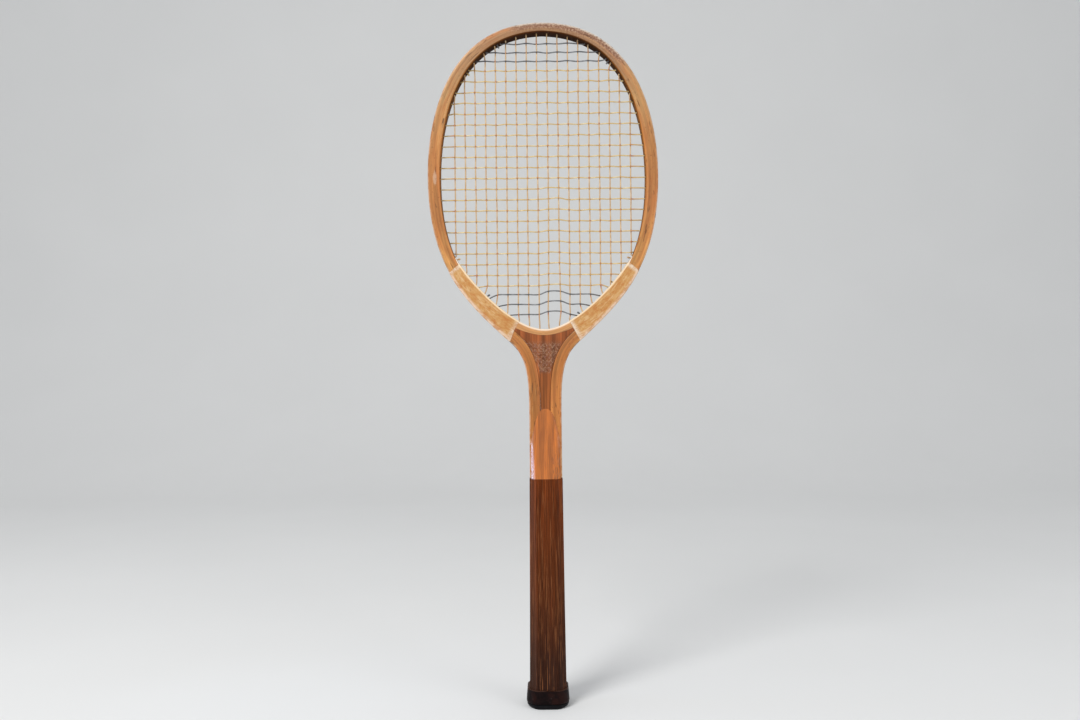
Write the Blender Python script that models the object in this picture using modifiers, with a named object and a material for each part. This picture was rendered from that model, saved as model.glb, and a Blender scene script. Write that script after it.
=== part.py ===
"""A wooden tennis racket with a bent ash hoop, a throat wedge, a combed wooden grip and gut strings.

It stands on its butt: +Z runs up the handle to the crown, +X goes across the head, and the
playing faces look along -Y (front) and +Y (back). Sizes are in metres.
"""

import math

import bmesh
import bpy
from mathutils import Matrix, Vector
from mathutils.geometry import interpolate_bezier

# Clearance between pieces that touch or are glued
GAP = 0.0003

# Overall sizes
TOTAL_LENGTH = 0.686
HEAD_WIDTH = 0.2314
FRAME_DEPTH = 0.018
EDGE_ROUND = 0.0016
INNER_EDGE_ROUND = 0.0008

# Outline of the bent piece: heights are measured down from the crown, and each fullness says
# how far the curve keeps to its end's direction
WIDEST_BELOW_CROWN = 0.1541
FLARE_BELOW_CROWN = 0.3220
SHAFT_BELOW_CROWN = 0.3969
FLARE_HALF_WIDTH = 0.0328
FLARE_SLOPE = math.radians(43.5)
SHAFT_WIDTH = 0.0324
CROWN_FULLNESS = 0.0936
SIDE_FULLNESS_UP = 0.0629
SIDE_FULLNESS_DOWN = 0.0959
SHOULDER_FULLNESS = 0.0560
FLARE_FULLNESS = 0.0231
SHAFT_FULLNESS = 0.0339

# Thickness of the bent piece, seen from the front
CROWN_FACE = 0.0085
SIDE_FACE = 0.0120
LIMB_FACE = 0.0113

# Throat bow, which closes the opening below and runs up each limb in a thin horn
OPENING_BELOW_CROWN = 0.3076
HORN_RISE = 0.0808
BOW_FACE = 0.0060
BOW_THICKENING = 0.0022
BOW_THICKENING_REACH = 0.0300
BOW_FULLNESS = 0.0339
HORN_FULLNESS = 0.0249
HORN_TIP = 0.0006

# String groove round the outside of the hoop, and the string holes
GROOVE_WIDTH = 0.0042
GROOVE_DEPTH = 0.0018
GROOVE_BELOW_OPENING = 0.0304
GROOVE_RUN_OUT = 0.0180
LOWEST_EXIT_BELOW_OPENING = 0.0254
HOLE_RADIUS = 0.0011
HOLE_STAGGER = 0.0008
HOLE_SPACING = 0.0044
TUNNEL_PAST = 0.0030

# Strings: rows are counted down from the crown
GUT_RADIUS = 0.00065
MAIN_COUNT = 18
MAIN_SPACING = 0.01044
CROWN_ROWS = 3
CROWN_ROW_TOP = 0.0187
CROWN_ROW_SPACING = 0.0088
CROSS_ROWS = 21
CROSS_ROW_TOP = 0.0457
CROSS_ROW_SPACING = 0.01088
THROAT_ROWS = 3
THROAT_ROW_TOP = 0.2722
THROAT_ROW_SPACING = 0.0101
WEAVE = 0.00175
WEAVE_TURN = 0.0016
LEAST_CROSSING = 0.0055
BEND_INSIDE = 0.0012
LOOP_STEP = 0.0112
TIE_STEP = 0.0001
KNOT_OFF_WALL = 0.0012
KNOT_LENGTH = 0.0026
KNOT_SHOULDER = 0.0005
KNOT_SWELL = 2.0

# Shaft and grip
GRIP_TOP = 0.2284
CORE_WIDTH = 0.0270
STEP_HEIGHT = 0.0004
TAIL_BOTTOM = 0.2614
OVERLAY_TOP = 0.2988
OVERLAY_WIDTH = 0.0294
OVERLAY_NOSE = 0.0330
OVERLAY_TIP_FULLNESS = 0.0070
OVERLAY_SIDE_FULLNESS = 0.0255
OVERLAY_LEAN = math.radians(11.8)
OVERLAY_TIP_RISE = 0.0003
OVERLAY_RISE = 0.0052
OVERLAY_FOOT = 0.0002
OVERLAY_STEPS = (4, 8, 13, 19, 27, 37, 47)
GRIP_BEVEL = 0.0068
GRIP_WIDTH_TOP = 0.0333
GRIP_DEPTH_TOP = 0.0290
GRIP_MIDDLE = 0.1050
GRIP_WIDTH_MIDDLE = 0.0350
GRIP_DEPTH_MIDDLE = 0.0302
BUTT_FLARE_TOP = 0.0240
GRIP_WIDTH_LOW = 0.0366
GRIP_DEPTH_LOW = 0.0314
BELLY_ABOVE_CAP = 0.0025
BUTT_WIDTH = 0.0396
BUTT_DEPTH = 0.0338
BUTT_TUCK = 0.0005

# Butt cap, leather band and its tacks
CAP_ROUND = 0.0032
CAP_WALL = 0.0013
CAP_STEPS = 4
BAND_TOP = 0.0190
BAND_THICKNESS = 0.0012
TACK_COUNT = 3
LOWEST_TACK_ABOVE_CAP = 0.0030
TACK_SPACING = 0.0040
TACK_HEAD_RADIUS = 0.0014
TACK_HEAD_HEIGHT = 0.0007
TACK_SHANK_RADIUS = 0.0005
TACK_SHANK_LENGTH = 0.0050
TACK_SIDES = 12

# Vellum bindings over the shoulders
WRAP_THICKNESS = 0.0004
WRAP_START = 0.0265
WRAP_LENGTH = 0.0835
WRAP_RINGS = 11
WRAP_LIP = 0.0005

# How finely the curves are divided
CURVE_STEPS = 48
RING_STEP = 0.0098
BOW_STEP = 0.0066

HALF_DEPTH = FRAME_DEPTH / 2
OPENING_BOTTOM = TOTAL_LENGTH - OPENING_BELOW_CROWN
HORN_TOP = OPENING_BOTTOM + HORN_RISE
GROOVE_END = OPENING_BOTTOM - GROOVE_BELOW_OPENING
LOWEST_EXIT = OPENING_BOTTOM - LOWEST_EXIT_BELOW_OPENING
SHAFT_HALF = SHAFT_WIDTH / 2
LIMB_INSIDE = SHAFT_HALF - LIMB_FACE
CAP_TOP = CAP_ROUND + CAP_WALL
CORE_BOTTOM = CAP_TOP + GAP
BUTT_BELLY = CAP_TOP + BELLY_ABOVE_CAP
LOOP_DEPTH = GROOVE_DEPTH - GUT_RADIUS - GAP


class Track:
    """A flat curve of (x, z) points, measured by the distance along it."""

    def __init__(self, points):
        self.points = points
        self.marks = [0.0]
        for first, second in zip(points, points[1:]):
            self.marks.append(self.marks[-1] + (second - first).length)
        self.length = self.marks[-1]

    def at(self, distance):
        last = len(self.marks) - 1
        index = next((i for i in range(1, last) if distance < self.marks[i]), last)
        start, end = self.marks[index - 1], self.marks[index]
        return self.points[index - 1].lerp(self.points[index], (distance - start) / (end - start))

    def direction(self, distance):
        step = 0.001
        before = self.at(max(distance - step, 0.0))
        after = self.at(min(distance + step, self.length))
        return (after - before).normalized()

    def where(self, test, low=0.0, high=None):
        """The distance at which the test, which holds at low, stops holding."""
        high = self.length if high is None else high
        for _ in range(40):
            middle = (low + high) / 2
            if test(self.at(middle)):
                low = middle
            else:
                high = middle
        return low


def curve(start, start_pull, end_pull, end):
    return [Vector(point) for point in interpolate_bezier(start, start_pull, end_pull, end, CURVE_STEPS)]


def outline_track():
    """Outer edge of the right half, from the middle of the crown to the top of the straight shaft."""
    crown = Vector((0.0, TOTAL_LENGTH))
    side = Vector((HEAD_WIDTH / 2, TOTAL_LENGTH - WIDEST_BELOW_CROWN))
    flare = Vector((FLARE_HALF_WIDTH, TOTAL_LENGTH - FLARE_BELOW_CROWN))
    shaft = Vector((SHAFT_HALF, TOTAL_LENGTH - SHAFT_BELOW_CROWN))
    across = Vector((1.0, 0.0))
    up = Vector((0.0, 1.0))
    in_and_down = Vector((-math.cos(FLARE_SLOPE), -math.sin(FLARE_SLOPE)))
    head = curve(crown, crown + across * CROWN_FULLNESS, side + up * SIDE_FULLNESS_UP, side)
    shoulder = curve(side, side - up * SIDE_FULLNESS_DOWN, flare - in_and_down * SHOULDER_FULLNESS, flare)
    neck = curve(flare, flare + in_and_down * FLARE_FULLNESS, shaft + up * SHAFT_FULLNESS, shaft)
    return Track(head + shoulder[1:] + neck[1:])


OUTLINE = outline_track()
OUTLINE_TO_SIDE = OUTLINE.marks[CURVE_STEPS - 1]
OUTLINE_TO_FLARE = OUTLINE.marks[2 * CURVE_STEPS - 2]


def inward(distance):
    """Square to the outline, from the air into the wood."""
    along = OUTLINE.direction(distance)
    return Vector((along.y, -along.x))


def face_width(distance):
    """Thickness of the bent piece at a distance along its outline."""
    if distance < OUTLINE_TO_SIDE:
        return CROWN_FACE + (SIDE_FACE - CROWN_FACE) * math.sin(math.pi / 2 * distance / OUTLINE_TO_SIDE)
    share = min((distance - OUTLINE_TO_SIDE) / (OUTLINE_TO_FLARE - OUTLINE_TO_SIDE), 1.0)
    return SIDE_FACE + (LIMB_FACE - SIDE_FACE) * share


def inner_point(distance):
    return OUTLINE.at(distance) + inward(distance) * face_width(distance)


RING_COUNT = round(OUTLINE.length / RING_STEP)
RING_MARKS = [OUTLINE.length * index / RING_COUNT for index in range(RING_COUNT + 1)]
INNER_EDGE = [inner_point(mark) for mark in RING_MARKS]
OUTER_EDGE = [OUTLINE.at(mark) for mark in RING_MARKS]


def opening_track():
    """Edge of the opening on the right, from the crown down to its lowest point on the bow."""
    steps = 4 * CURVE_STEPS
    edge = [inner_point(OUTLINE.length * index / steps) for index in range(steps + 1)]
    upper = [point for point in edge if point.y > HORN_TOP]
    horn = upper[-1]
    along = (upper[-1] - upper[-2]).normalized()
    bottom = Vector((0.0, OPENING_BOTTOM))
    lower = curve(horn, horn + along * HORN_FULLNESS, bottom + Vector((BOW_FULLNESS, 0.0)), bottom)
    return Track(upper + lower[1:])


OPENING = opening_track()
OPENING_TO_SIDE = OPENING.where(lambda point: point.y > TOTAL_LENGTH - WIDEST_BELOW_CROWN)


def outward(distance):
    """Square to the opening's edge, from the air into the wood."""
    along = OPENING.direction(distance)
    return Vector((-along.y, along.x))


def reach(start, direction, edge):
    """How far a line from start goes before it meets a chain of points, or None."""
    found = []
    for first, second in zip(edge, edge[1:]):
        run = second - first
        turn = direction.x * run.y - direction.y * run.x
        if abs(turn) < 1e-12:
            continue
        offset = first - start
        distance = (offset.x * run.y - offset.y * run.x) / turn
        share = (offset.x * direction.y - offset.y * direction.x) / turn
        if 0.0 <= share <= 1.0 and distance > 0.0:
            found.append(distance)
    return min(found, default=None)


def new_collection(name):
    collection = bpy.data.collections.new(name)
    bpy.context.scene.collection.children.link(collection)
    return collection


def finish(name, colour, roughness, metallic=0.0):
    material = bpy.data.materials.new(name)
    material.use_nodes = True
    shader = material.node_tree.nodes["Principled BSDF"]
    shader.inputs["Base Color"].default_value = (*colour, 1.0)
    shader.inputs["Roughness"].default_value = roughness
    shader.inputs["Metallic"].default_value = metallic
    material.diffuse_color = (*colour, 1.0)
    return material


def add_part(name, mesh, material):
    part = bpy.data.objects.new(name, mesh)
    PARTS.objects.link(part)
    mesh.materials.append(material)
    return part


def add_cutter(name, mesh):
    cutter = bpy.data.objects.new(name, mesh)
    CUTTERS.objects.link(cutter)
    cutter.hide_render = True
    cutter.display_type = "WIRE"
    return cutter


def boolean(part, cutter, operation="DIFFERENCE"):
    modifier = part.modifiers.new(cutter.name, "BOOLEAN")
    modifier.object = cutter
    modifier.operation = operation
    modifier.solver = "EXACT"


def to_mesh(name, shape):
    mesh = bpy.data.meshes.new(name)
    bmesh.ops.recalc_face_normals(shape, faces=shape.faces)
    shape.to_mesh(mesh)
    shape.free()
    return mesh


def skin(shape, rings, closed):
    """Joins each ring of points to the next with faces. A closed ring also joins its last point to its first."""
    loops = [[shape.verts.new(point) for point in ring] for ring in rings]
    spans = len(rings[0]) if closed else len(rings[0]) - 1
    for first, second in zip(loops, loops[1:]):
        for index in range(spans):
            following = (index + 1) % len(first)
            shape.faces.new((first[index], first[following], second[following], second[index]))
    return loops


def loft(name, rings):
    """A solid through rings of points, closed at both ends."""
    shape = bmesh.new()
    loops = skin(shape, rings, closed=True)
    shape.faces.new(loops[0])
    shape.faces.new(loops[-1])
    bmesh.ops.remove_doubles(shape, verts=shape.verts, dist=0.000001)
    return to_mesh(name, shape)


def sheet(name, rings, closed):
    """An open surface through rings of points, to be given its thickness by Solidify."""
    shape = bmesh.new()
    skin(shape, rings, closed)
    return to_mesh(name, shape)


def box(name, low, high):
    shape = bmesh.new()
    bmesh.ops.create_cube(shape, size=1.0)
    low, high = Vector(low), Vector(high)
    bmesh.ops.scale(shape, vec=high - low, verts=shape.verts)
    bmesh.ops.translate(shape, vec=(low + high) / 2, verts=shape.verts)
    return to_mesh(name, shape)


def rod(shape, start, end, radius, sides):
    """A closed cylinder between two points."""
    axis = end - start
    turn = axis.to_track_quat("Z", "Y").to_matrix().to_4x4()
    place = Matrix.Translation((start + end) / 2) @ turn
    bmesh.ops.create_cone(
        shape, cap_ends=True, segments=sides, radius1=radius, radius2=radius, depth=axis.length, matrix=place
    )


def plate(name, points, half_thickness):
    """A flat outline in X and Z, thick along Y: a filled curve made a mesh, with its caps welded."""
    flat = bpy.data.curves.new(name, "CURVE")
    flat.dimensions = "2D"
    flat.fill_mode = "BOTH"
    flat.extrude = half_thickness
    spline = flat.splines.new("POLY")
    spline.points.add(len(points) - 1)
    for spot, point in zip(spline.points, points):
        spot.co = (point.x, point.y, 0.0, 1.0)
    spline.use_cyclic_u = True
    guide = bpy.data.objects.new(name, flat)
    CUTTERS.objects.link(guide)
    guide.rotation_euler = (math.radians(90.0), 0.0, 0.0)
    bpy.context.view_layer.update()
    graph = bpy.context.evaluated_depsgraph_get()
    mesh = bpy.data.meshes.new_from_object(guide.evaluated_get(graph))
    mesh.transform(guide.matrix_world)
    bpy.data.objects.remove(guide)
    shape = bmesh.new()
    shape.from_mesh(mesh)
    bmesh.ops.remove_doubles(shape, verts=shape.verts, dist=0.000001)
    return to_mesh(name, shape)


def upright(point, depth):
    return Vector((point.x, depth, point.y))


def mirrored(points):
    return [Vector((-point.x, point.y, point.z)) for point in points]


def smooth(part, angle=40.0):
    part.data.shade_smooth()
    part.data.set_sharp_from_angle(angle=math.radians(angle))


def groove_point(mark):
    """Where a string's middle lies in the groove. A mark below zero is on the left."""
    point = OUTLINE.at(abs(mark)) + inward(abs(mark)) * LOOP_DEPTH
    return Vector((math.copysign(point.x, mark), point.y))


def exit_mark(entry_mark):
    """Distance along the outline where a hole from this distance along the opening comes out."""
    if entry_mark < OPENING_TO_SIDE:
        return OUTLINE_TO_SIDE * entry_mark / OPENING_TO_SIDE
    lowest = OUTLINE.where(lambda point: point.y > LOWEST_EXIT)
    share = (entry_mark - OPENING_TO_SIDE) / (OPENING.length - OPENING_TO_SIDE)
    return OUTLINE_TO_SIDE + (lowest - OUTLINE_TO_SIDE) * share


class Hole:
    """A string's way through the wood, from the opening to the groove, on one side (1 or -1)."""

    def __init__(self, side, entry_mark, depth):
        self.depth = depth
        self.mark = side * exit_mark(entry_mark)
        entry = OPENING.at(entry_mark)
        self.entry = upright(Vector((side * entry.x, entry.y)), depth)
        self.exit = upright(groove_point(self.mark), depth)
        self.axis = (self.exit - self.entry).normalized()

    def inside(self, distance):
        return self.entry - self.axis * distance


def row_heights():
    """Heights of all cross strings, from the crown down."""
    crown = [CROWN_ROW_TOP + CROWN_ROW_SPACING * row for row in range(CROWN_ROWS)]
    middle = [CROSS_ROW_TOP + CROSS_ROW_SPACING * row for row in range(CROSS_ROWS)]
    throat = [THROAT_ROW_TOP + THROAT_ROW_SPACING * row for row in range(THROAT_ROWS)]
    return [TOTAL_LENGTH - below for below in crown + middle + throat]


ROWS = row_heights()
CROWN_SPAN = range(CROWN_ROWS)
CROSS_SPAN = range(CROWN_ROWS, CROWN_ROWS + CROSS_ROWS)
THROAT_SPAN = range(CROWN_ROWS + CROSS_ROWS, CROWN_ROWS + CROSS_ROWS + THROAT_ROWS)


def main_place(main):
    """Where a main string lies across the head. Mains are counted from the left."""
    return (main - (MAIN_COUNT - 1) / 2) * MAIN_SPACING


def straight_marks(side):
    """Distances along the opening where each string on one side would reach it in a straight line."""
    marks = {}
    for main in range(MAIN_COUNT):
        across = side * main_place(main)
        if across > 0:
            marks["top", main] = OPENING.where(lambda point: point.x < across, high=OPENING_TO_SIDE)
            marks["bottom", main] = OPENING.where(lambda point: point.x > across, low=OPENING_TO_SIDE)
    for row, height in enumerate(ROWS):
        marks["row", row] = OPENING.where(lambda point: point.y > height)
    return marks


def uncross(marks):
    """A main and a row that would cross too near the wood change places, so that they don't cross."""
    for kind, main in [key for key in marks if key[0] != "row"]:
        for row in range(len(ROWS)):
            past = marks["row", row] - marks[kind, main]
            if kind == "bottom":
                past = -past
            if 0.0 < past < LEAST_CROSSING:
                marks["row", row], marks[kind, main] = marks[kind, main], marks["row", row]


def entry_marks(side):
    """Distances along the opening of all the holes on one side, moved apart where they crowd.

    A string's end is tied off through a hole of its own, beside its last one, where no other string is near.
    """
    marks = straight_marks(side)
    uncross(marks)
    outer_main = 0 if side < 0 else MAIN_COUNT - 1
    marks["tie", "mains"] = marks["bottom", outer_main] + TIE_STEP
    for span in (CROWN_SPAN, CROSS_SPAN, THROAT_SPAN):
        last = marks["row", span[0] if side < 0 else span[-1]]
        marks["tie", span] = last + math.copysign(TIE_STEP, OPENING_TO_SIDE - last)
    order = sorted(marks, key=marks.get)
    for _ in range(300):
        for first, second in zip(order, order[1:]):
            short = HOLE_SPACING - (marks[second] - marks[first])
            if short > 0:
                marks[first] -= short / 2
                marks[second] += short / 2
    return marks


MARKS = {side: entry_marks(side) for side in (-1, 1)}


def hole(side, kind, number):
    of_mains = kind in ("top", "bottom") or number == "mains"
    return Hole(side, MARKS[side][kind, number], -HOLE_STAGGER if of_mains else HOLE_STAGGER)


def crosses(main, row):
    """Whether a row reaches as far out as this main."""
    marks = MARKS[1 if main_place(main) > 0 else -1]
    return marks["top", main] < marks["row", row] < marks["bottom", main]


def string_tunnels():
    """Every string hole as one cutter."""
    shape = bmesh.new()
    for side, marks in MARKS.items():
        for kind, number in marks:
            way = hole(side, kind, number)
            rod(shape, way.inside(TUNNEL_PAST), way.exit + way.axis * TUNNEL_PAST, HOLE_RADIUS, 6)
    return add_cutter("string_tunnels", to_mesh("string_tunnels", shape))


def loop_points(first, second):
    """A string's way from one hole to another along the groove."""
    run = second.mark - first.mark
    steps = math.ceil(abs(run) / LOOP_STEP)
    return [upright(groove_point(first.mark + run * index / steps), first.depth) for index in range(steps + 1)]


def knot_points(tie):
    """The string's end inside the opening, swollen to a knot: points and their swelling."""
    distances = (
        (KNOT_OFF_WALL, 1.0), (KNOT_OFF_WALL + KNOT_SHOULDER, KNOT_SWELL),
        (KNOT_OFF_WALL + KNOT_LENGTH - KNOT_SHOULDER, KNOT_SWELL), (KNOT_OFF_WALL + KNOT_LENGTH, 1.0),
    )
    return [(tie.inside(distance), swell) for distance, swell in distances]


def plain(points):
    return [(point, 1.0) for point in points]


def main_points():
    """The whole way of the mains' one length of gut, from the left tie to the right."""
    left_tie, right_tie = hole(-1, "tie", "mains"), hole(1, "tie", "mains")
    way = list(reversed(knot_points(left_tie)))
    last = left_tie
    for main in range(MAIN_COUNT):
        side = 1 if main_place(main) > 0 else -1
        goes_up = main % 2 == 0
        kinds = ("bottom", "top") if goes_up else ("top", "bottom")
        first, second = (hole(side, kind, main) for kind in kinds)
        way += plain(loop_points(last, first))
        rows = [row for row in range(len(ROWS)) if crosses(main, row)]
        bed = [Vector((main_place(main), 0.0, ROWS[row])) for row in (rows[0], rows[-1])]
        if goes_up:
            bed.reverse()
        way += plain([first.inside(BEND_INSIDE), *bed, second.inside(BEND_INSIDE)])
        last = second
    return way + plain(loop_points(last, right_tie)) + knot_points(right_tie)


def turn_round(crossing, end):
    """Where a row that passes in front of its last main, near its hole, turns back to the hole behind."""
    run = end - crossing
    if crossing.y > 0 or abs(run.x) > 4 * WEAVE_TURN:
        return []
    turn = crossing + run * (WEAVE_TURN / abs(run.x))
    turn.y = crossing.y * 0.6
    return [turn]


def row_points(span):
    """The way of one length of gut that is woven through the mains over these rows."""
    left_tie, right_tie = hole(-1, "tie", span), hole(1, "tie", span)
    way = list(reversed(knot_points(left_tie)))
    last = left_tie
    for row in span:
        side = -1 if (row - span[0]) % 2 == 0 else 1
        first, second = hole(side, "row", row), hole(-side, "row", row)
        way += plain(loop_points(last, first))
        mains = [main for main in range(MAIN_COUNT) if crosses(main, row)]
        if side > 0:
            mains.reverse()
        bed = [Vector((main_place(main), WEAVE * (-1) ** (row + main), ROWS[row])) for main in mains]
        start, end = first.inside(BEND_INSIDE), second.inside(BEND_INSIDE)
        way += plain([start, *turn_round(bed[0], start), *bed, *turn_round(bed[-1], end), end])
        last = second
    return way + plain(loop_points(last, right_tie)) + knot_points(right_tie)


def least_gap(way):
    """Least clear distance between stretches of one string that lie apart along it."""
    apart = 0.012
    track = [0.0]
    for (first, _), (second, _) in zip(way, way[1:]):
        track.append(track[-1] + (second - first).length)
    distances = [
        (a - b).length - GUT_RADIUS * (swell_a + swell_b)
        for i, (a, swell_a) in enumerate(way)
        for j, (b, swell_b) in enumerate(way[:i])
        if track[i] - track[j] > apart
    ]
    return min(distances)


def gut_string(name, way, material):
    gut = bpy.data.curves.new(name, "CURVE")
    gut.dimensions = "3D"
    gut.bevel_depth = GUT_RADIUS
    gut.bevel_resolution = 1
    gut.use_fill_caps = True
    spline = gut.splines.new("POLY")
    spline.points.add(len(way) - 1)
    for spot, (point, swell) in zip(spline.points, way):
        spot.co = (*point, 1.0)
        spot.radius = swell
    gut.materials.append(material)
    PARTS.objects.link(bpy.data.objects.new(name, gut))
    print(f"{name}: {len(way)} points, least gap to itself {1000 * least_gap(way):.2f} mm")


def bend_section(edge, across, width, groove, inner_round):
    """A cross-section of the bent piece, from its front edge round by the groove, the back and the inside."""
    lip = GROOVE_WIDTH / 2
    outline = (
        (EDGE_ROUND, -HALF_DEPTH), (0.0, EDGE_ROUND - HALF_DEPTH), (0.0, -lip), (groove, -lip),
        (groove, lip), (0.0, lip), (0.0, HALF_DEPTH - EDGE_ROUND), (EDGE_ROUND, HALF_DEPTH),
        (width - inner_round, HALF_DEPTH), (width, HALF_DEPTH - inner_round),
        (width, inner_round - HALF_DEPTH), (width - inner_round, -HALF_DEPTH),
    )
    return [upright(edge + across * deep, depth) for deep, depth in outline]


def groove_depth(height):
    share = (height - GROOVE_END + GROOVE_RUN_OUT) / GROOVE_RUN_OUT
    return GROOVE_DEPTH * min(max(share, 0.0), 1.0)


def ash_bend(material):
    """The hoop and both limbs are one ash lath, bent round and run down into the handle."""
    step_top = GRIP_TOP + GAP + STEP_HEIGHT
    rings = []
    for mark in RING_MARKS:
        edge = OUTLINE.at(mark)
        if edge.y < step_top + RING_STEP / 2:
            break
        inner_round = INNER_EDGE_ROUND if edge.y > HORN_TOP else 0.0
        rings.append(bend_section(edge, inward(mark), face_width(mark), groove_depth(edge.y), inner_round))
    core_half = CORE_WIDTH / 2
    for height, half in (
        (step_top, SHAFT_HALF), (GRIP_TOP + GAP, core_half), (CORE_BOTTOM, core_half),
    ):
        rings.append(bend_section(Vector((half, height)), Vector((-1.0, 0.0)), half - LIMB_INSIDE, 0.0, 0.0))
    left = [mirrored(ring) for ring in reversed(rings[1:])]
    part = add_part("ash_bend", loft("ash_bend", left + rings), material)
    boolean(part, TUNNELS)
    smooth(part)


def bow_face(from_middle):
    share = from_middle / BOW_THICKENING_REACH
    return BOW_FACE + BOW_THICKENING * share * share


def bow_thickness(mark):
    """The bow's thickness, and whether the limb sets it. Over the wedge the bow sets it itself."""
    free = bow_face(OPENING.length - mark)
    to_limb = reach(OPENING.at(mark), outward(mark), INNER_EDGE)
    if to_limb is None or to_limb - GAP > free:
        return free, False
    return to_limb - GAP, True


def bow_marks():
    """Distances along the opening of the bow's sections, from the middle up to the horn's tip."""
    low, high = 0.0, 0.06
    for _ in range(40):
        middle = (low + high) / 2
        if bow_thickness(OPENING.length - middle)[1]:
            high = middle
        else:
            low = middle
    corner = high
    over_wedge = math.ceil(corner / BOW_STEP)
    marks = [OPENING.length - corner * index / over_wedge for index in range(over_wedge + 1)]
    while bow_thickness(marks[-1] - BOW_STEP)[0] > HORN_TIP:
        marks.append(marks[-1] - BOW_STEP)
    return marks, over_wedge


BOW_MARKS, BOW_CORNER = bow_marks()


def throat_bow(material):
    """The curved ash piece that closes the opening, with its horns glued along the limbs."""
    rings = []
    for mark in BOW_MARKS:
        thickness = bow_thickness(mark)[0]
        edge, across = OPENING.at(mark), outward(mark)
        trim = min(INNER_EDGE_ROUND, thickness / 3)
        section = (
            (trim, -HALF_DEPTH), (0.0, trim - HALF_DEPTH), (0.0, HALF_DEPTH - trim),
            (trim, HALF_DEPTH), (thickness, HALF_DEPTH), (thickness, -HALF_DEPTH),
        )
        rings.append([upright(edge + across * deep, depth) for deep, depth in section])
    left = [mirrored(ring) for ring in reversed(rings[1:])]
    part = add_part("throat_bow", loft("throat_bow", left + rings), material)
    boolean(part, TUNNELS)
    smooth(part)


def throat_wedge(material):
    """The mahogany wedge between bow and limbs, with a tail that runs down between the limbs."""
    below_bow = [
        OPENING.at(mark) + outward(mark) * (bow_thickness(mark)[0] + GAP)
        for mark in BOW_MARKS[:BOW_CORNER + 1]
    ]
    beside_limb = [inner_point(mark) + inward(mark) * GAP for mark in RING_MARKS]
    last = below_bow[-2]
    along = (below_bow[-1] - last).normalized()
    tip = last + along * reach(last, along, beside_limb)
    side = [point for point in beside_limb if TAIL_BOTTOM < point.y < tip.y and point.x < tip.x]
    tail = Vector((LIMB_INSIDE - GAP, TAIL_BOTTOM))
    right = [*below_bow[:-1], tip, *side, tail]
    left = [Vector((-point.x, point.y)) for point in reversed(right[1:])]
    part = add_part("throat_wedge", plate("throat_wedge", left + right, HALF_DEPTH), material)
    boolean(part, TUNNELS)


def handle_filler(material):
    """A straight strip between the limbs, from the wedge's tail down to the butt."""
    half = LIMB_INSIDE - GAP
    low = (-half, -HALF_DEPTH, CORE_BOTTOM)
    high = (half, HALF_DEPTH, TAIL_BOTTOM - GAP)
    add_part("handle_filler", box("handle_filler", low, high), material)


def overlay_edge():
    """Right edge of the slip, from its blunt tip down to where it has its full width."""
    tip = Vector((0.0, OVERLAY_TOP))
    full = Vector((OVERLAY_WIDTH / 2, OVERLAY_TOP - OVERLAY_NOSE))
    in_and_up = Vector((-math.sin(OVERLAY_LEAN), math.cos(OVERLAY_LEAN)))
    return curve(
        tip, tip + Vector((OVERLAY_TIP_FULLNESS, 0.0)), full + in_and_up * OVERLAY_SIDE_FULLNESS, full
    )


def shaft_overlay(name, side, material):
    """A thumbnail-shaped slip that thickens the shaft towards the grip, bevelled at its sides.

    Side is -1 in front and 1 behind.
    """
    bottom = GRIP_TOP + GAP
    face = HALF_DEPTH + GAP
    edge = overlay_edge()
    rings = []
    for half, height in [edge[step] for step in OVERLAY_STEPS] + [Vector((OVERLAY_WIDTH / 2, bottom))]:
        share = (OVERLAY_TOP - height) / (OVERLAY_TOP - bottom)
        rise = OVERLAY_TIP_RISE + (OVERLAY_RISE - OVERLAY_TIP_RISE) * share
        flat = half - rise + OVERLAY_FOOT
        section = (
            (-half, face), (half, face), (half, face + OVERLAY_FOOT),
            (flat, face + rise), (-flat, face + rise), (-half, face + OVERLAY_FOOT),
        )
        rings.append([Vector((x, side * y, height)) for x, y in section])
    smooth(add_part(name, loft(name, rings), material), 20.0)


def octagon(height, width, depth, grown=0.0):
    """The grip's cross-section: a box with its corners cut at 45 degrees."""
    half, deep = width / 2 + grown, depth / 2 + grown
    cut = GRIP_BEVEL + grown * (2 - math.sqrt(2))
    right = [(half - cut, -deep), (half, cut - deep), (half, deep - cut), (half - cut, deep)]
    left = [(-x, y) for x, y in reversed(right)]
    return [Vector((x, y, height)) for x, y in right + left]


GRIP_SECTIONS = (
    (CORE_BOTTOM, BUTT_WIDTH - 2 * BUTT_TUCK, BUTT_DEPTH - 2 * BUTT_TUCK),
    (BUTT_BELLY, BUTT_WIDTH, BUTT_DEPTH),
    (BUTT_FLARE_TOP, GRIP_WIDTH_LOW, GRIP_DEPTH_LOW),
    (GRIP_MIDDLE, GRIP_WIDTH_MIDDLE, GRIP_DEPTH_MIDDLE),
    (GRIP_TOP, GRIP_WIDTH_TOP, GRIP_DEPTH_TOP),
)


def grip_size(height):
    """Width and depth of the grip at a height."""
    for low, high in zip(GRIP_SECTIONS, GRIP_SECTIONS[1:]):
        if height <= high[0]:
            share = (height - low[0]) / (high[0] - low[0])
            return tuple(a + (b - a) * share for a, b in zip(low[1:], high[1:]))
    return GRIP_SECTIONS[-1][1:]


def grip_piece(name, low, high, material):
    """The part of the eight-sided grip that lies inside a box."""
    rings = [octagon(*section) for section in GRIP_SECTIONS]
    part = add_part(name, loft(name, rings), material)
    boolean(part, add_cutter(name + "_part_of_grip", box(name + "_part_of_grip", low, high)), "INTERSECT")
    return part


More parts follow.
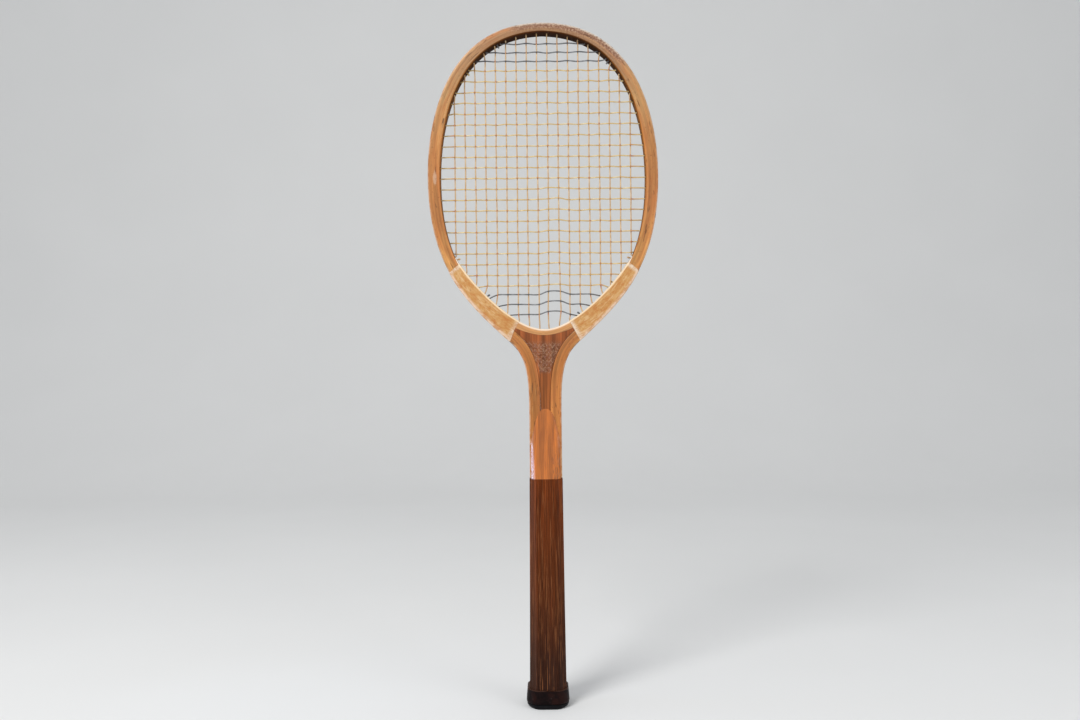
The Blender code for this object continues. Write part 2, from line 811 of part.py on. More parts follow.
def grip(material):
    """Two slabs in front and behind and two cheeks at the sides, glued round the core."""
    face, side = HALF_DEPTH + GAP, CORE_WIDTH / 2 + GAP
    past = GRIP_TOP
    top = GRIP_TOP + past
    grip_piece("grip_front_slab", (-past, -past, 0.0), (past, -face, top), material)
    back = grip_piece("grip_back_slab", (-past, face, 0.0), (past, past, top), material)
    grip_piece("grip_left_cheek", (-past, -HALF_DEPTH, 0.0), (-side, HALF_DEPTH, top), material)
    grip_piece("grip_right_cheek", (side, -HALF_DEPTH, 0.0), (past, HALF_DEPTH, top), material)
    boolean(back, TACK_HOLES)


def butt_cap(material):
    """The plate that closes the butt, rounded up to the band from a flat on which the racket can stand."""
    low = GRIP_SECTIONS[0][1:]
    over = GAP + BAND_THICKNESS
    rings = []
    for step in range(CAP_STEPS + 1):
        turn = math.pi / 2 * step / CAP_STEPS
        height = CAP_ROUND * (1 - math.cos(turn))
        rings.append(octagon(height, *low, grown=over - CAP_ROUND * (1 - math.sin(turn))))
    rings.append(octagon(CAP_TOP, *low, grown=over))
    smooth(add_part("butt_cap", loft("butt_cap", rings), material))


def leather_band(material):
    """A strip of leather round the butt's flare, tacked through at the back.

    Its wall leans out below the belly, so its outer edge lies lower than its inner one.
    """
    lean = BUTT_TUCK / (BUTT_BELLY - CORE_BOTTOM)
    inner_bottom = CORE_BOTTOM + BAND_THICKNESS * lean
    heights = [inner_bottom, BUTT_BELLY, (BUTT_BELLY + BAND_TOP) / 2, BAND_TOP]
    rings = [octagon(height, *grip_size(height), grown=GAP) for height in heights]
    part = add_part("butt_leather_band", sheet("butt_leather_band", rings, closed=True), material)
    wall = part.modifiers.new("leather", "SOLIDIFY")
    wall.thickness = BAND_THICKNESS
    wall.offset = 1.0
    wall.use_even_offset = True
    boolean(part, TACK_HOLES)


def tack_seats():
    """Where each tack's head meets the band, at the back."""
    lowest = CAP_TOP + LOWEST_TACK_ABOVE_CAP
    heights = [lowest + TACK_SPACING * index for index in range(TACK_COUNT)]
    return [Vector((0.0, grip_size(z)[1] / 2 + GAP + BAND_THICKNESS, z)) for z in heights]


def tack_holes():
    shape = bmesh.new()
    for seat in tack_seats():
        outside = seat + Vector((0.0, TACK_HEAD_HEIGHT, 0.0))
        inside = seat - Vector((0.0, TACK_SHANK_LENGTH + GAP, 0.0))
        rod(shape, inside, outside, TACK_SHANK_RADIUS + GAP, 8)
    return add_cutter("tack_holes", to_mesh("tack_holes", shape))


def band_tacks(material):
    """Brass tacks with domed heads, each turned from one profile."""
    profile = (
        (0.0, TACK_HEAD_HEIGHT), (TACK_HEAD_RADIUS * 0.6, TACK_HEAD_HEIGHT * 0.8), (TACK_HEAD_RADIUS, 0.0),
        (TACK_SHANK_RADIUS, 0.0), (TACK_SHANK_RADIUS, -TACK_SHANK_LENGTH * 0.7), (0.0, -TACK_SHANK_LENGTH),
    )
    for number, seat in enumerate(tack_seats(), 1):
        name = f"band_tack_{number}"
        shape = bmesh.new()
        points = [shape.verts.new((radius, 0.0, height)) for radius, height in profile]
        for first, second in zip(points, points[1:]):
            shape.edges.new((first, second))
        mesh = bpy.data.meshes.new(name)
        shape.to_mesh(mesh)
        shape.free()
        part = add_part(name, mesh, material)
        turned = part.modifiers.new("turned", "SCREW")
        turned.steps = turned.render_steps = TACK_SIDES
        turned.use_merge_vertices = True
        turned.merge_threshold = 0.00001
        part.rotation_euler = (math.radians(-90.0), 0.0, 0.0)
        part.location = seat + Vector((0.0, GAP, 0.0))


def shoulder_wrap(name, side, material):
    """Thin vellum round the shoulder over limb and horn, open along the groove."""
    lip = GROOVE_WIDTH / 2 + WRAP_LIP
    off = GAP
    corner = GAP * (math.sqrt(2) - 1)
    rings = []
    for index in range(WRAP_RINGS):
        mark = OPENING.length - WRAP_START - WRAP_LENGTH * index / (WRAP_RINGS - 1)
        edge, across = OPENING.at(mark), outward(mark)
        width = reach(edge, across, OUTER_EDGE)
        half = (
            (width + off, lip), (width + off, HALF_DEPTH - EDGE_ROUND + corner),
            (width - EDGE_ROUND + corner, HALF_DEPTH + off), (INNER_EDGE_ROUND - corner, HALF_DEPTH + off),
            (-off, HALF_DEPTH - INNER_EDGE_ROUND + corner),
        )
        section = [(deep, -depth) for deep, depth in half] + list(reversed(half))
        ring = [upright(edge + across * deep, depth) for deep, depth in section]
        rings.append(ring if side > 0 else mirrored(ring))
    part = add_part(name, sheet(name, rings, closed=False), material)
    if part.data.polygons[0].normal.x * side < 0:
        part.data.flip_normals()
    wall = part.modifiers.new("vellum", "SOLIDIFY")
    wall.thickness = WRAP_THICKNESS
    wall.offset = 1.0
    wall.use_even_offset = True
    boolean(part, TUNNELS)
    smooth(part)


for old in list(bpy.data.objects):
    bpy.data.objects.remove(old)

PARTS = new_collection("tennis_racket")
CUTTERS = new_collection("cutters")
TUNNELS = string_tunnels()
TACK_HOLES = tack_holes()

ash_bend(finish("varnished_ash", (0.60, 0.36, 0.17), 0.35))
throat_bow(finish("bow_ash", (0.62, 0.39, 0.20), 0.35))
throat_wedge(finish("mahogany", (0.30, 0.14, 0.08), 0.4))
handle_filler(finish("filler_ash", (0.55, 0.36, 0.20), 0.6))
shaft_overlay("shaft_front_overlay", -1, finish("front_slip_ash", (0.63, 0.33, 0.12), 0.3))
shaft_overlay("shaft_back_overlay", 1, finish("back_slip_ash", (0.63, 0.33, 0.12), 0.3))
grip(finish("combed_hardwood", (0.14, 0.06, 0.035), 0.55))
butt_cap(finish("butt_plate", (0.05, 0.03, 0.025), 0.5))
leather_band(finish("dark_leather", (0.035, 0.02, 0.017), 0.45))
band_tacks(finish("brass", (0.55, 0.38, 0.15), 0.35, 1.0))
vellum = finish("vellum", (0.66, 0.45, 0.27), 0.45)
shoulder_wrap("shoulder_wrap_left", -1, vellum)
shoulder_wrap("shoulder_wrap_right", 1, vellum)
natural_gut = finish("natural_gut", (0.62, 0.43, 0.20), 0.35)
dark_gut = finish("dark_gut", (0.10, 0.06, 0.05), 0.4)
gut_string("main_string", main_points(), natural_gut)
gut_string("cross_string", row_points(CROSS_SPAN), natural_gut)
gut_string("crown_trebling", row_points(CROWN_SPAN), dark_gut)
gut_string("throat_trebling", row_points(THROAT_SPAN), dark_gut)
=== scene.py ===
import math
import random
from functools import cache

import bmesh
import bpy
from mathutils import Matrix, Vector
from mathutils.geometry import interpolate_bezier
from mathutils.kdtree import KDTree


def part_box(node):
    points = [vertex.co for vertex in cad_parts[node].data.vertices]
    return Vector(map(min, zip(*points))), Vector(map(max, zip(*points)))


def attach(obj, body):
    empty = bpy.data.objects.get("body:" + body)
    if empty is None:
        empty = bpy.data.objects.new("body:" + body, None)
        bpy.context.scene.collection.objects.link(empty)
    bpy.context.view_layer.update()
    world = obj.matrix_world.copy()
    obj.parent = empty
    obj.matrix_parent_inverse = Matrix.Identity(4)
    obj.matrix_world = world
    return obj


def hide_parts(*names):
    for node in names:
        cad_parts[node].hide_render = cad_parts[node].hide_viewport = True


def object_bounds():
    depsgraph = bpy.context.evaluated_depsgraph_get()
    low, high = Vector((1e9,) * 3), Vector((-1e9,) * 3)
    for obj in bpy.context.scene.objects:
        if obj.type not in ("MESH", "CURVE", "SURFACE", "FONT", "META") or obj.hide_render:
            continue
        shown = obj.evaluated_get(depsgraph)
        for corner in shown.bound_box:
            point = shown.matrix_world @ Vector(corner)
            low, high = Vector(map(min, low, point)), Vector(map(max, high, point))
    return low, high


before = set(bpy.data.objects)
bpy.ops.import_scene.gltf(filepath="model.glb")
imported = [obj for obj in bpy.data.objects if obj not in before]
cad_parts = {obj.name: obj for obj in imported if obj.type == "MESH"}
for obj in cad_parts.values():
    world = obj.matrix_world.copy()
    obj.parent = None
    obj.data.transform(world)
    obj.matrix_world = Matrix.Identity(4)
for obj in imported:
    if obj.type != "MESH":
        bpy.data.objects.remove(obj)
cad_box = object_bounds()

# The hoop and both limbs are one lath of ash, steamed and bent into an arch and run down into the
# handle. It is planed thinner at the crown, and a groove round its outside takes the string loops.
# A hole is drilled from inside for each string, and the whole lath is varnished.
CROWN_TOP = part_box("ash_bend")[1].z
HEAD_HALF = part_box("ash_bend")[1].x
HALF_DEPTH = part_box("ash_bend")[1].y
GRIP_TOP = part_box("grip_front_slab")[1].z
SEAM = 0.00005
WIDEST_BELOW_CROWN = 0.1541
FLARE_BELOW_CROWN = 0.3220
SHAFT_BELOW_CROWN = 0.3969
FLARE_HALF_WIDTH = 0.0328
FLARE_SLOPE = math.radians(43.5)
SHAFT_HALF = 0.0162
CROWN_FULLNESS = 0.0936
SIDE_FULLNESS_UP = 0.0629
SIDE_FULLNESS_DOWN = 0.0959
SHOULDER_FULLNESS = 0.0560
FLARE_FULLNESS = 0.0231
SHAFT_FULLNESS = 0.0339
CROWN_FACE = 0.0085
SIDE_FACE = 0.0120
LIMB_FACE = 0.0113
LIMB_INSIDE = SHAFT_HALF - LIMB_FACE
EDGE_ROUND = 0.0016
INNER_EDGE_ROUND = 0.0009
GROOVE_WIDTH = 0.0042
GROOVE_DEPTH = 0.0018
GROOVE_END = CROWN_TOP - 0.3380
GROOVE_RUN_OUT = 0.0180
GROOVE_FLOOR = 0.8 * GROOVE_WIDTH
GROOVE_EDGE_ROUND = 0.0004
NO_GROOVE = 0.00001
LIMB_END = GRIP_TOP + 0.0010
CORE_TOP = GRIP_TOP + 0.0004
CORE_HALF = 0.0135
CORE_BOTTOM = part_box("ash_bend")[0].z
INNER_WALL_SKIN = 0.0003
LATH_STEP = 0.0026
CURVE_STEPS = 96
MERGE_WITHIN = 0.000002


def halved(test, low, high):
    """The two nearest values between which the test, which holds at low, stops holding."""
    for _ in range(40):
        middle = (low + high) / 2
        if test(middle):
            low = middle
        else:
            high = middle
    return low, high


class Track:
    """A flat curve of (x, z) points, measured by the distance along it."""

    def __init__(self, points):
        self.points = points
        self.marks = [0.0]
        for first, second in zip(points, points[1:]):
            self.marks.append(self.marks[-1] + (second - first).length)
        self.length = self.marks[-1]

    def at(self, distance):
        last = len(self.marks) - 1
        index = next((i for i in range(1, last) if distance < self.marks[i]), last)
        start, end = self.marks[index - 1], self.marks[index]
        return self.points[index - 1].lerp(self.points[index], (distance - start) / (end - start))

    def direction(self, distance):
        step = 0.001
        before = self.at(max(distance - step, 0.0))
        after = self.at(min(distance + step, self.length))
        return (after - before).normalized()

    def where(self, test, low=0.0, high=None):
        """The distance at which the test, which holds at low, stops holding."""
        high = self.length if high is None else high
        return halved(lambda distance: test(self.at(distance)), low, high)[0]


def curve(start, start_pull, end_pull, end, steps=CURVE_STEPS):
    return [Vector(point) for point in interpolate_bezier(start, start_pull, end_pull, end, steps)]


def outline_track():
    """Outer edge of the right half, from the middle of the crown to the top of the straight shaft."""
    crown = Vector((0.0, CROWN_TOP))
    side = Vector((HEAD_HALF, CROWN_TOP - WIDEST_BELOW_CROWN))
    flare = Vector((FLARE_HALF_WIDTH, CROWN_TOP - FLARE_BELOW_CROWN))
    shaft = Vector((SHAFT_HALF, CROWN_TOP - SHAFT_BELOW_CROWN))
    across = Vector((1.0, 0.0))
    up = Vector((0.0, 1.0))
    in_and_down = Vector((-math.cos(FLARE_SLOPE), -math.sin(FLARE_SLOPE)))
    head = curve(crown, crown + across * CROWN_FULLNESS, side + up * SIDE_FULLNESS_UP, side)
    shoulder = curve(side, side - up * SIDE_FULLNESS_DOWN, flare - in_and_down * SHOULDER_FULLNESS, flare)
    neck = curve(flare, flare + in_and_down * FLARE_FULLNESS, shaft + up * SHAFT_FULLNESS, shaft)
    return Track(head + shoulder[1:] + neck[1:])


OUTLINE = outline_track()
OUTLINE_TO_SIDE = OUTLINE.marks[CURVE_STEPS - 1]
OUTLINE_TO_FLARE = OUTLINE.marks[2 * CURVE_STEPS - 2]


def inward(distance):
    """Square to the outline, from the air into the wood."""
    along = OUTLINE.direction(distance)
    return Vector((along.y, -along.x))


def face_width(distance):
    """Thickness of the lath at a distance along its outline."""
    if distance < OUTLINE_TO_SIDE:
        return CROWN_FACE + (SIDE_FACE - CROWN_FACE) * math.sin(math.pi / 2 * distance / OUTLINE_TO_SIDE)
    share = min((distance - OUTLINE_TO_SIDE) / (OUTLINE_TO_FLARE - OUTLINE_TO_SIDE), 1.0)
    return SIDE_FACE + (LIMB_FACE - SIDE_FACE) * share


LATH_COUNT = round(OUTLINE.length / LATH_STEP)
LATH_MARKS = [OUTLINE.length * index / LATH_COUNT for index in range(LATH_COUNT + 1)]
INNER_EDGE = [OUTLINE.at(mark) + inward(mark) * face_width(mark) for mark in LATH_MARKS]
OUTER_EDGE = [OUTLINE.at(mark) for mark in LATH_MARKS]


def upright(point, depth):
    return Vector((point.x, depth, point.y))


def mirrored(points):
    return [Vector((-point.x, point.y, point.z)) for point in points]


def rounded(corners, steps=3, between=0):
    """A closed outline with its corners cut round. A corner is (point, how far the rounding reaches)."""
    outline = []
    for index, (point, radius) in enumerate(corners):
        after, after_radius = corners[(index + 1) % len(corners)]
        before, point, after = Vector(corners[index - 1][0]), Vector(point), Vector(after)
        start = point + (before - point).normalized() * radius
        end = point + (after - point).normalized() * radius
        for step in range(steps + 1):
            share = step / steps
            outline.append(start.lerp(point, share).lerp(point.lerp(end, share), share))
        next_start = after + (point - after).normalized() * after_radius
        outline += [end.lerp(next_start, (step + 1) / (between + 1)) for step in range(between)]
    return outline


def lofted(sections, ring=False):
    """A grid rolled up and laid on closed sections one after another, with its open ends filled."""
    rows = sections + sections[:1] if ring else sections
    shape = bmesh.new()
    bmesh.ops.create_grid(shape, x_segments=len(rows[0]), y_segments=len(rows) - 1, size=0.5)
    for index, vert in enumerate(shape.verts):
        row, column = divmod(index, len(rows[0]) + 1)
        vert.co = rows[row][column % len(rows[0])]
    bmesh.ops.remove_doubles(shape, verts=shape.verts, dist=MERGE_WITHIN)
    bmesh.ops.holes_fill(shape, edges=shape.edges)
    bmesh.ops.recalc_face_normals(shape, faces=shape.faces)
    return shape


def added(name, shape, material, sharp=35.0):
    """The shape as an object with its place in its mesh, smooth but for edges sharper than this angle."""
    mesh = bpy.data.meshes.new(name)
    shape.to_mesh(mesh)
    shape.free()
    mesh.materials.append(material)
    mesh.shade_smooth()
    mesh.set_sharp_from_angle(angle=math.radians(sharp))
    piece = bpy.data.objects.new(name, mesh)
    bpy.context.scene.collection.objects.link(piece)
    return piece


def cut_out(piece, cutter_shape):
    """Cuts closed bodies out of a piece, for good."""
    cutter = added("cutter", cutter_shape, piece.data.materials[0])
    cut = piece.modifiers.new("cut", "BOOLEAN")
    cut.object = cutter
    cut.solver = "EXACT"
    graph = bpy.context.evaluated_depsgraph_get()
    old, piece_mesh = piece.data, bpy.data.meshes.new_from_object(piece.evaluated_get(graph))
    piece.modifiers.clear()
    piece.data = piece_mesh
    bpy.data.meshes.remove(old)
    bpy.data.meshes.remove(cutter.data)
    piece_mesh.name = piece.name


def fitted(piece, node, slot):
    """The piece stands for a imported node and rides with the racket."""
    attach(piece, "root")
    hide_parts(node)


class Finish:
    """One procedural material, built up node by node on its shader."""

    def __init__(self, name, roughness, **sockets):
        self.material = bpy.data.materials.new(name)
        self.material.use_nodes = True
        self.tree = self.material.node_tree
        self.shader = self.tree.nodes["Principled BSDF"]
        self.give("Roughness", roughness)
        for socket, value in sockets.items():
            self.give(socket.replace("_", " "), value)

    def give(self, socket, value):
        self.join(value, self.shader.inputs[socket])

    def join(self, value, socket):
        if isinstance(value, bpy.types.NodeSocket):
            self.tree.links.new(value, socket)
        elif isinstance(value, tuple) and len(value) == 3 and socket.type == "RGBA":
            socket.default_value = (*value, 1.0)
        else:
            socket.default_value = value

    def node(self, kind, *values, **settings):
        made = self.tree.nodes.new(kind)
        for name, setting in settings.items():
            setattr(made, name, setting)
        for index, value in enumerate(values):
            if value is not None:
                self.join(value, made.inputs[index])
        return made

    def place(self):
        return self.node("ShaderNodeTexCoord").outputs["Object"]

    def attribute(self, name, output="Vector"):
        return self.node("ShaderNodeAttribute", attribute_name=name).outputs[output]

    def parts(self, vector):
        return self.node("ShaderNodeSeparateXYZ", vector).outputs

    def vector(self, *values):
        return self.node("ShaderNodeCombineXYZ", *values).outputs[0]

    def stretched(self, vector, scale):
        return self.node("ShaderNodeVectorMath", vector, scale, operation="MULTIPLY").outputs[0]

    def noise(self, vector, scale, detail=2.0, roughness=0.5):
        made = self.node("ShaderNodeTexNoise")
        for socket, value in (
            ("Vector", vector), ("Scale", scale), ("Detail", detail), ("Roughness", roughness),
        ):
            self.join(value, made.inputs[socket])
        return made.outputs[0]

    def streaks(self, vector, scale, detail=2.0, roughness=0.5):
        """Noise with a scale of its own along each axis, so that it is drawn out."""
        return self.noise(self.stretched(vector, scale), 1.0, detail, roughness)

    def math(self, operation, *values):
        return self.node("ShaderNodeMath", *values, operation=operation).outputs[0]

    def times(self, first, second):
        return self.math("MULTIPLY", first, second)

    def rise(self, value, low, high, from_value=0.0, to_value=1.0):
        """Goes smoothly from one value to another as its input goes from low to high."""
        made = self.node(
            "ShaderNodeMapRange", value, low, high, from_value, to_value, interpolation_type="SMOOTHSTEP"
        )
        return made.outputs[0]

    def shades(self, value, *stops):
        """A colour for each value: stops are (value, colour)."""
        ramp = self.node("ShaderNodeValToRGB", value)
        while len(ramp.color_ramp.elements) < len(stops):
            ramp.color_ramp.elements.new(0.5)
        for element, (position, colour) in zip(ramp.color_ramp.elements, stops):
            element.position = position
            element.color = (*colour, 1.0)
        return ramp.outputs[0]

    def mix(self, share, first, second, blend="MIX"):
        made = self.node("ShaderNodeMix", data_type="RGBA", blend_type=blend)
        for index, value in ((0, share), (6, first), (7, second)):
            self.join(value, made.inputs[index])
        return made.outputs[2]

    def bump(self, height, distance, strength):
        made = self.node("ShaderNodeBump")
        for socket, value in (("Height", height), ("Distance", distance), ("Strength", strength)):
            self.join(value, made.inputs[socket])
        self.give("Normal", made.outputs[0])


def wood_grain(finish, way):
    """Three patterns drawn out along the wood: broad growth bands, narrow streaks and short open pores."""
    bands = finish.streaks(way, (7.0, 190.0, 120.0), 3.0)
    streaks = finish.streaks(way, (16.0, 900.0, 600.0), 3.0, 0.6)
    pores = finish.streaks(way, (130.0, 2600.0, 1600.0), 1.0)
    return bands, streaks, finish.rise(pores, 0.60, 0.72)


PORE_TONE = (0.16, 0.07, 0.03)


def grained(finish, colour, grain, depth):
    """The colour with the grain in it. Depth says how strongly the grain marks it."""
    bands, streaks, pores = grain
    shade = finish.rise(bands, 0.3, 0.7, 1.0 - 0.7 * depth, 1.0 + 0.35 * depth)
    fine = finish.rise(streaks, 0.3, 0.7, 1.0 - 0.55 * depth, 1.0 + 0.3 * depth)
    both = finish.times(shade, fine)
    shaded = finish.mix(1.0, colour, finish.vector(both, both, both), "MULTIPLY")
    return finish.mix(finish.times(pores, 0.55 * depth), shaded, PORE_TONE)


def raise_grain(finish, grain, distance=0.0001, strength=0.5):
    finish.bump(finish.math("SUBTRACT", grain[1], grain[2]), distance, strength)


LATH_LENGTH = 0.70
TAN_TONE = (0.43, 0.230, 0.112)
REDDER_TONE = (0.50, 0.210, 0.068)
SIDE_TONE = (0.60, 0.285, 0.090)
FACE_TONES = (
    (0.0, TAN_TONE), (0.12, TAN_TONE), (0.19, (0.50, 0.275, 0.112)), (0.27, REDDER_TONE),
    (0.35, REDDER_TONE), (0.42, SIDE_TONE), (0.52, SIDE_TONE), (0.62, (0.44, 0.160, 0.042)),
    (0.74, (0.56, 0.210, 0.052)),
)
# Inner wall colours along the lath: golden brown wood, with painted shade darkening it towards the crown,
# where the wall faces down.
INNER_WALL_TONES_WITH_SHADE = (
    (0.0, (0.040, 0.010, 0.001)), (0.09, (0.055, 0.018, 0.002)), (0.17, (0.17, 0.060, 0.009)),
    (0.27, (0.40, 0.150, 0.032)), (0.40, (0.45, 0.170, 0.045)), (0.60, (0.32, 0.110, 0.030)),
)
RED_PATCH_TONE = (0.46, 0.150, 0.045)
PALE_PATCH_TONE = (0.66, 0.370, 0.140)
CROWN_TONE = (0.305, 0.170, 0.108)
CROWN_FLAKE_TONE = (0.17, 0.078, 0.046)
CROWN_BARE_TONE = (0.56, 0.39, 0.26)
CROWN_PRINT_MIDDLE = 0.032
CROWN_PRINT_HALF = 0.062
CROWN_PRINT_FADE = 0.010
RUBBED_EDGE_TONE = (0.70, 0.48, 0.33)
CHALKY_EDGE_TONE = (0.62, 0.54, 0.45)
SCUFF_TONE = (0.70, 0.52, 0.39)
SCUFF_PLACE = (-0.1085, -HALF_DEPTH, 0.5310)
SCUFF_REACH = (380.0, 200.0, 110.0)
SPECK_TONE = (0.19, 0.055, 0.022)
DENT_TONE = (0.10, 0.042, 0.018)
# Dark brown for dirt at the holes and the glued joint, also used for painted shade on the outer sides at
# the shoulders.
DIRT_AND_SHADE_TONE = (0.050, 0.020, 0.008)
FACE_CORNER = (-HALF_DEPTH + 0.0005, -HALF_DEPTH + 0.0016)


def worn_varnish(finish, colour, crown, across):
    """The worn face: flaked and bare at the crown, rubbed edges, one scuff and dark specks.

    The second value says how dull the wear has made it.
    """
    place = finish.place()
    flaking = finish.noise(place, 560.0, 3.0, 0.7)
    crown_wear = finish.times(crown, finish.rise(flaking, 0.50, 0.56))
    colour = finish.mix(finish.times(crown_wear, 0.8), colour, CROWN_FLAKE_TONE)
    bare = finish.times(crown, finish.rise(flaking, 0.44, 0.38))
    colour = finish.mix(finish.times(bare, 0.7), colour, CROWN_BARE_TONE)
    rubbed = finish.times(
        finish.rise(across, 0.0006, 0.0018, 1.0, 0.0),
        finish.rise(finish.noise(place, 120.0, 4.0, 0.65), 0.38, 0.58),
    )
    colour = finish.mix(finish.times(rubbed, 0.5), colour, RUBBED_EDGE_TONE)
    chalky = finish.times(crown, finish.rise(across, 0.0008, 0.0026, 0.9, 0.0))
    chalky = finish.times(chalky, finish.rise(flaking, 0.60, 0.48))
    colour = finish.mix(chalky, colour, CHALKY_EDGE_TONE)
    from_scuff = finish.node("ShaderNodeVectorMath", place, SCUFF_PLACE, operation="SUBTRACT").outputs[0]
    from_scuff = finish.stretched(from_scuff, SCUFF_REACH)
    scuff = finish.node("ShaderNodeVectorMath", from_scuff, operation="LENGTH").outputs["Value"]
    scuff = finish.math("ADD", scuff, finish.times(finish.noise(place, 700.0, 3.0, 0.7), 0.9))
    colour = finish.mix(finish.rise(scuff, 0.90, 1.40, 0.4, 0.0), colour, SCUFF_TONE)
    specks = finish.rise(finish.noise(place, 520.0, 2.0, 0.6), 0.66, 0.71)
    colour = finish.mix(finish.times(specks, 0.65), colour, SPECK_TONE)
    return colour, finish.math("ADD", crown_wear, finish.times(rubbed, 0.6))


def varnished_lath():
    finish = Finish("varnished_ash_lath", 0.4, Specular_IOR_Level=0.12, Coat_Roughness=0.2)
    way = finish.attribute("grain")
    along, across, depth = finish.parts(way)
    grain = wood_grain(finish, way)
    from_crown = finish.math("DIVIDE", finish.math("ABSOLUTE", along), LATH_LENGTH)
    wander = finish.times(finish.math("SUBTRACT", grain[0], 0.5), 0.12)
    tone = finish.shades(finish.math("ADD", from_crown, wander), *FACE_TONES)
    redness = finish.streaks(way, (22.0, 160.0, 60.0), 3.0, 0.65)
    tone = finish.mix(finish.rise(redness, 0.48, 0.64, 0.0, 0.5), tone, RED_PATCH_TONE)
    tone = finish.mix(finish.rise(redness, 0.30, 0.44, 0.4, 0.0), tone, PALE_PATCH_TONE)
    from_print = finish.math("ABSOLUTE", finish.math("SUBTRACT", along, CROWN_PRINT_MIDDLE))
    print_edge = (CROWN_PRINT_HALF - CROWN_PRINT_FADE, CROWN_PRINT_HALF + CROWN_PRINT_FADE)
    crown = finish.rise(from_print, *print_edge, 1.0, 0.0)
    crown = finish.times(crown, finish.rise(across, 0.0045, 0.0070, 1.0, 0.3))
    colour = grained(finish, finish.mix(crown, tone, CROWN_TONE), grain, 0.36)
    colour, dull = worn_varnish(finish, colour, crown, across)
    dents = finish.rise(finish.streaks(way, (60.0, 520.0, 400.0)), 0.66, 0.70)
    colour = finish.mix(finish.times(dents, 0.7), colour, DENT_TONE)
    # The inner wall's own golden brown wood with painted shade and light: darkest at the crown, darker
    # towards the back, and painted lighter near its front edge, most near the crown.
    wall = finish.shades(from_crown, *INNER_WALL_TONES_WITH_SHADE)
    shadow = finish.rise(depth, -HALF_DEPTH, HALF_DEPTH, 1.0, 0.40)
    lit = finish.rise(depth, -HALF_DEPTH, -HALF_DEPTH * 0.45, 1.0, 0.0)
    lit = finish.times(lit, finish.rise(from_crown, 0.10, 0.30, 2.6, 0.3))
    shadow = finish.math("ADD", shadow, lit)
    wall = finish.mix(1.0, wall, finish.vector(shadow, shadow, shadow), "MULTIPLY")
    inner_wall = finish.attribute("inner_wall", "Fac")
    colour = finish.mix(inner_wall, colour, grained(finish, wall, grain, 0.35))
    seam = finish.times(inner_wall, finish.rise(from_crown, 0.545, 0.56, 0.0, 0.85))
    colour = finish.mix(seam, colour, DIRT_AND_SHADE_TONE)
    # Painted shade: the outer side of the lath at the lower shoulders is darkened.
    outside = finish.times(
        finish.rise(depth, *FACE_CORNER), finish.rise(across, 0.0003, 0.0009, 1.0, 0.0)
    )
    shade_at_shoulder = finish.times(
        finish.rise(from_crown, 0.38, 0.46, 0.0, 0.85), finish.rise(from_crown, 0.58, 0.66, 1.0, 0.12)
    )
    colour = finish.mix(finish.times(outside, shade_at_shoulder), colour, DIRT_AND_SHADE_TONE)
    grime = finish.attribute("grime", "Fac")
    colour = finish.mix(finish.times(grime, 0.75), colour, DIRT_AND_SHADE_TONE)
    finish.give("Base Color", colour)
    finish.give("Roughness", finish.math("MAXIMUM", finish.rise(dull, 0.0, 1.0, 0.38, 0.6), inner_wall))
    finish.give("Coat Weight", finish.rise(finish.math("MAXIMUM", inner_wall, crown), 0.0, 0.6, 0.25, 0.0))
    marks = finish.math("ADD", grain[2], dents)
    finish.bump(finish.math("SUBTRACT", finish.times(grain[1], 0.5), marks), 0.00012, 0.6)
    return finish.material


def lath_section(edge, across, width, groove):
    """A cross-section of the lath, from its front edge round by the groove, the back and the inside."""
    lip, floor = GROOVE_WIDTH / 2, GROOVE_FLOOR / 2
    soft = min(GROOVE_EDGE_ROUND, groove / 3)
    corners = (
        ((0.0, -HALF_DEPTH), EDGE_ROUND), ((0.0, -lip), soft), ((groove, -floor), soft),
        ((groove, floor), soft), ((0.0, lip), soft), ((0.0, HALF_DEPTH), EDGE_ROUND),
        ((width, HALF_DEPTH), INNER_EDGE_ROUND), ((width, -HALF_DEPTH), INNER_EDGE_ROUND),
    )
    return [upright(edge + across * deep, depth) for deep, depth in rounded(corners)]


def groove_depth(height):
    """The groove is at its full depth round the head and runs out on the limbs."""
    share = min(max((height - GROOVE_END + GROOVE_RUN_OUT) / GROOVE_RUN_OUT, 0.0), 1.0)
    return NO_GROOVE + GROOVE_DEPTH * share * share * (3 - 2 * share)


def lath_sections():
    """From the left limb's foot inside the grip over the crown to the right limb's foot."""
    sections = [
        lath_section(edge, inward(mark), face_width(mark), groove_depth(edge.y))
        for mark, edge in zip(LATH_MARKS, OUTER_EDGE)
    ]
    for height, half in ((LIMB_END, SHAFT_HALF), (CORE_TOP, CORE_HALF), (CORE_BOTTOM, CORE_HALF)):
        foot = Vector((half, height))
        sections.append(lath_section(foot, Vector((-1.0, 0.0)), half - LIMB_INSIDE, NO_GROOVE))
    return [mirrored(section) for section in reversed(sections[1:])] + sections


# Where the strings pass through the wood. Main strings run up and down, rows run across, and each
# hole leads from the edge of the opening out to the groove. Rows are counted from the crown down, and
# each run of rows gives how far below the crown it starts, its spacing and its count.
OPENING_STEPS = 4 * CURVE_STEPS
OPENING_BOTTOM = CROWN_TOP - 0.3076
HORN_TOP = OPENING_BOTTOM + 0.0808
BOW_FULLNESS = 0.0339
HORN_FULLNESS = 0.0249
LOWEST_EXIT = OPENING_BOTTOM - 0.0254
HOLE_RADIUS = 0.0009
HOLE_SIDES = 12
HOLE_STAGGER = 0.0008
HOLE_SPACING = 0.0034
TUNNEL_PAST = 0.0030
GUT_RADIUS = 0.00065
LOOP_DEPTH = GROOVE_DEPTH - GUT_RADIUS - 0.0003
MAIN_COUNT = 18
MAIN_SPACING = 0.01044
LEAST_CROSSING = 0.0040
TIE_STEP = 0.0001
SPREADING_ROUNDS = 300
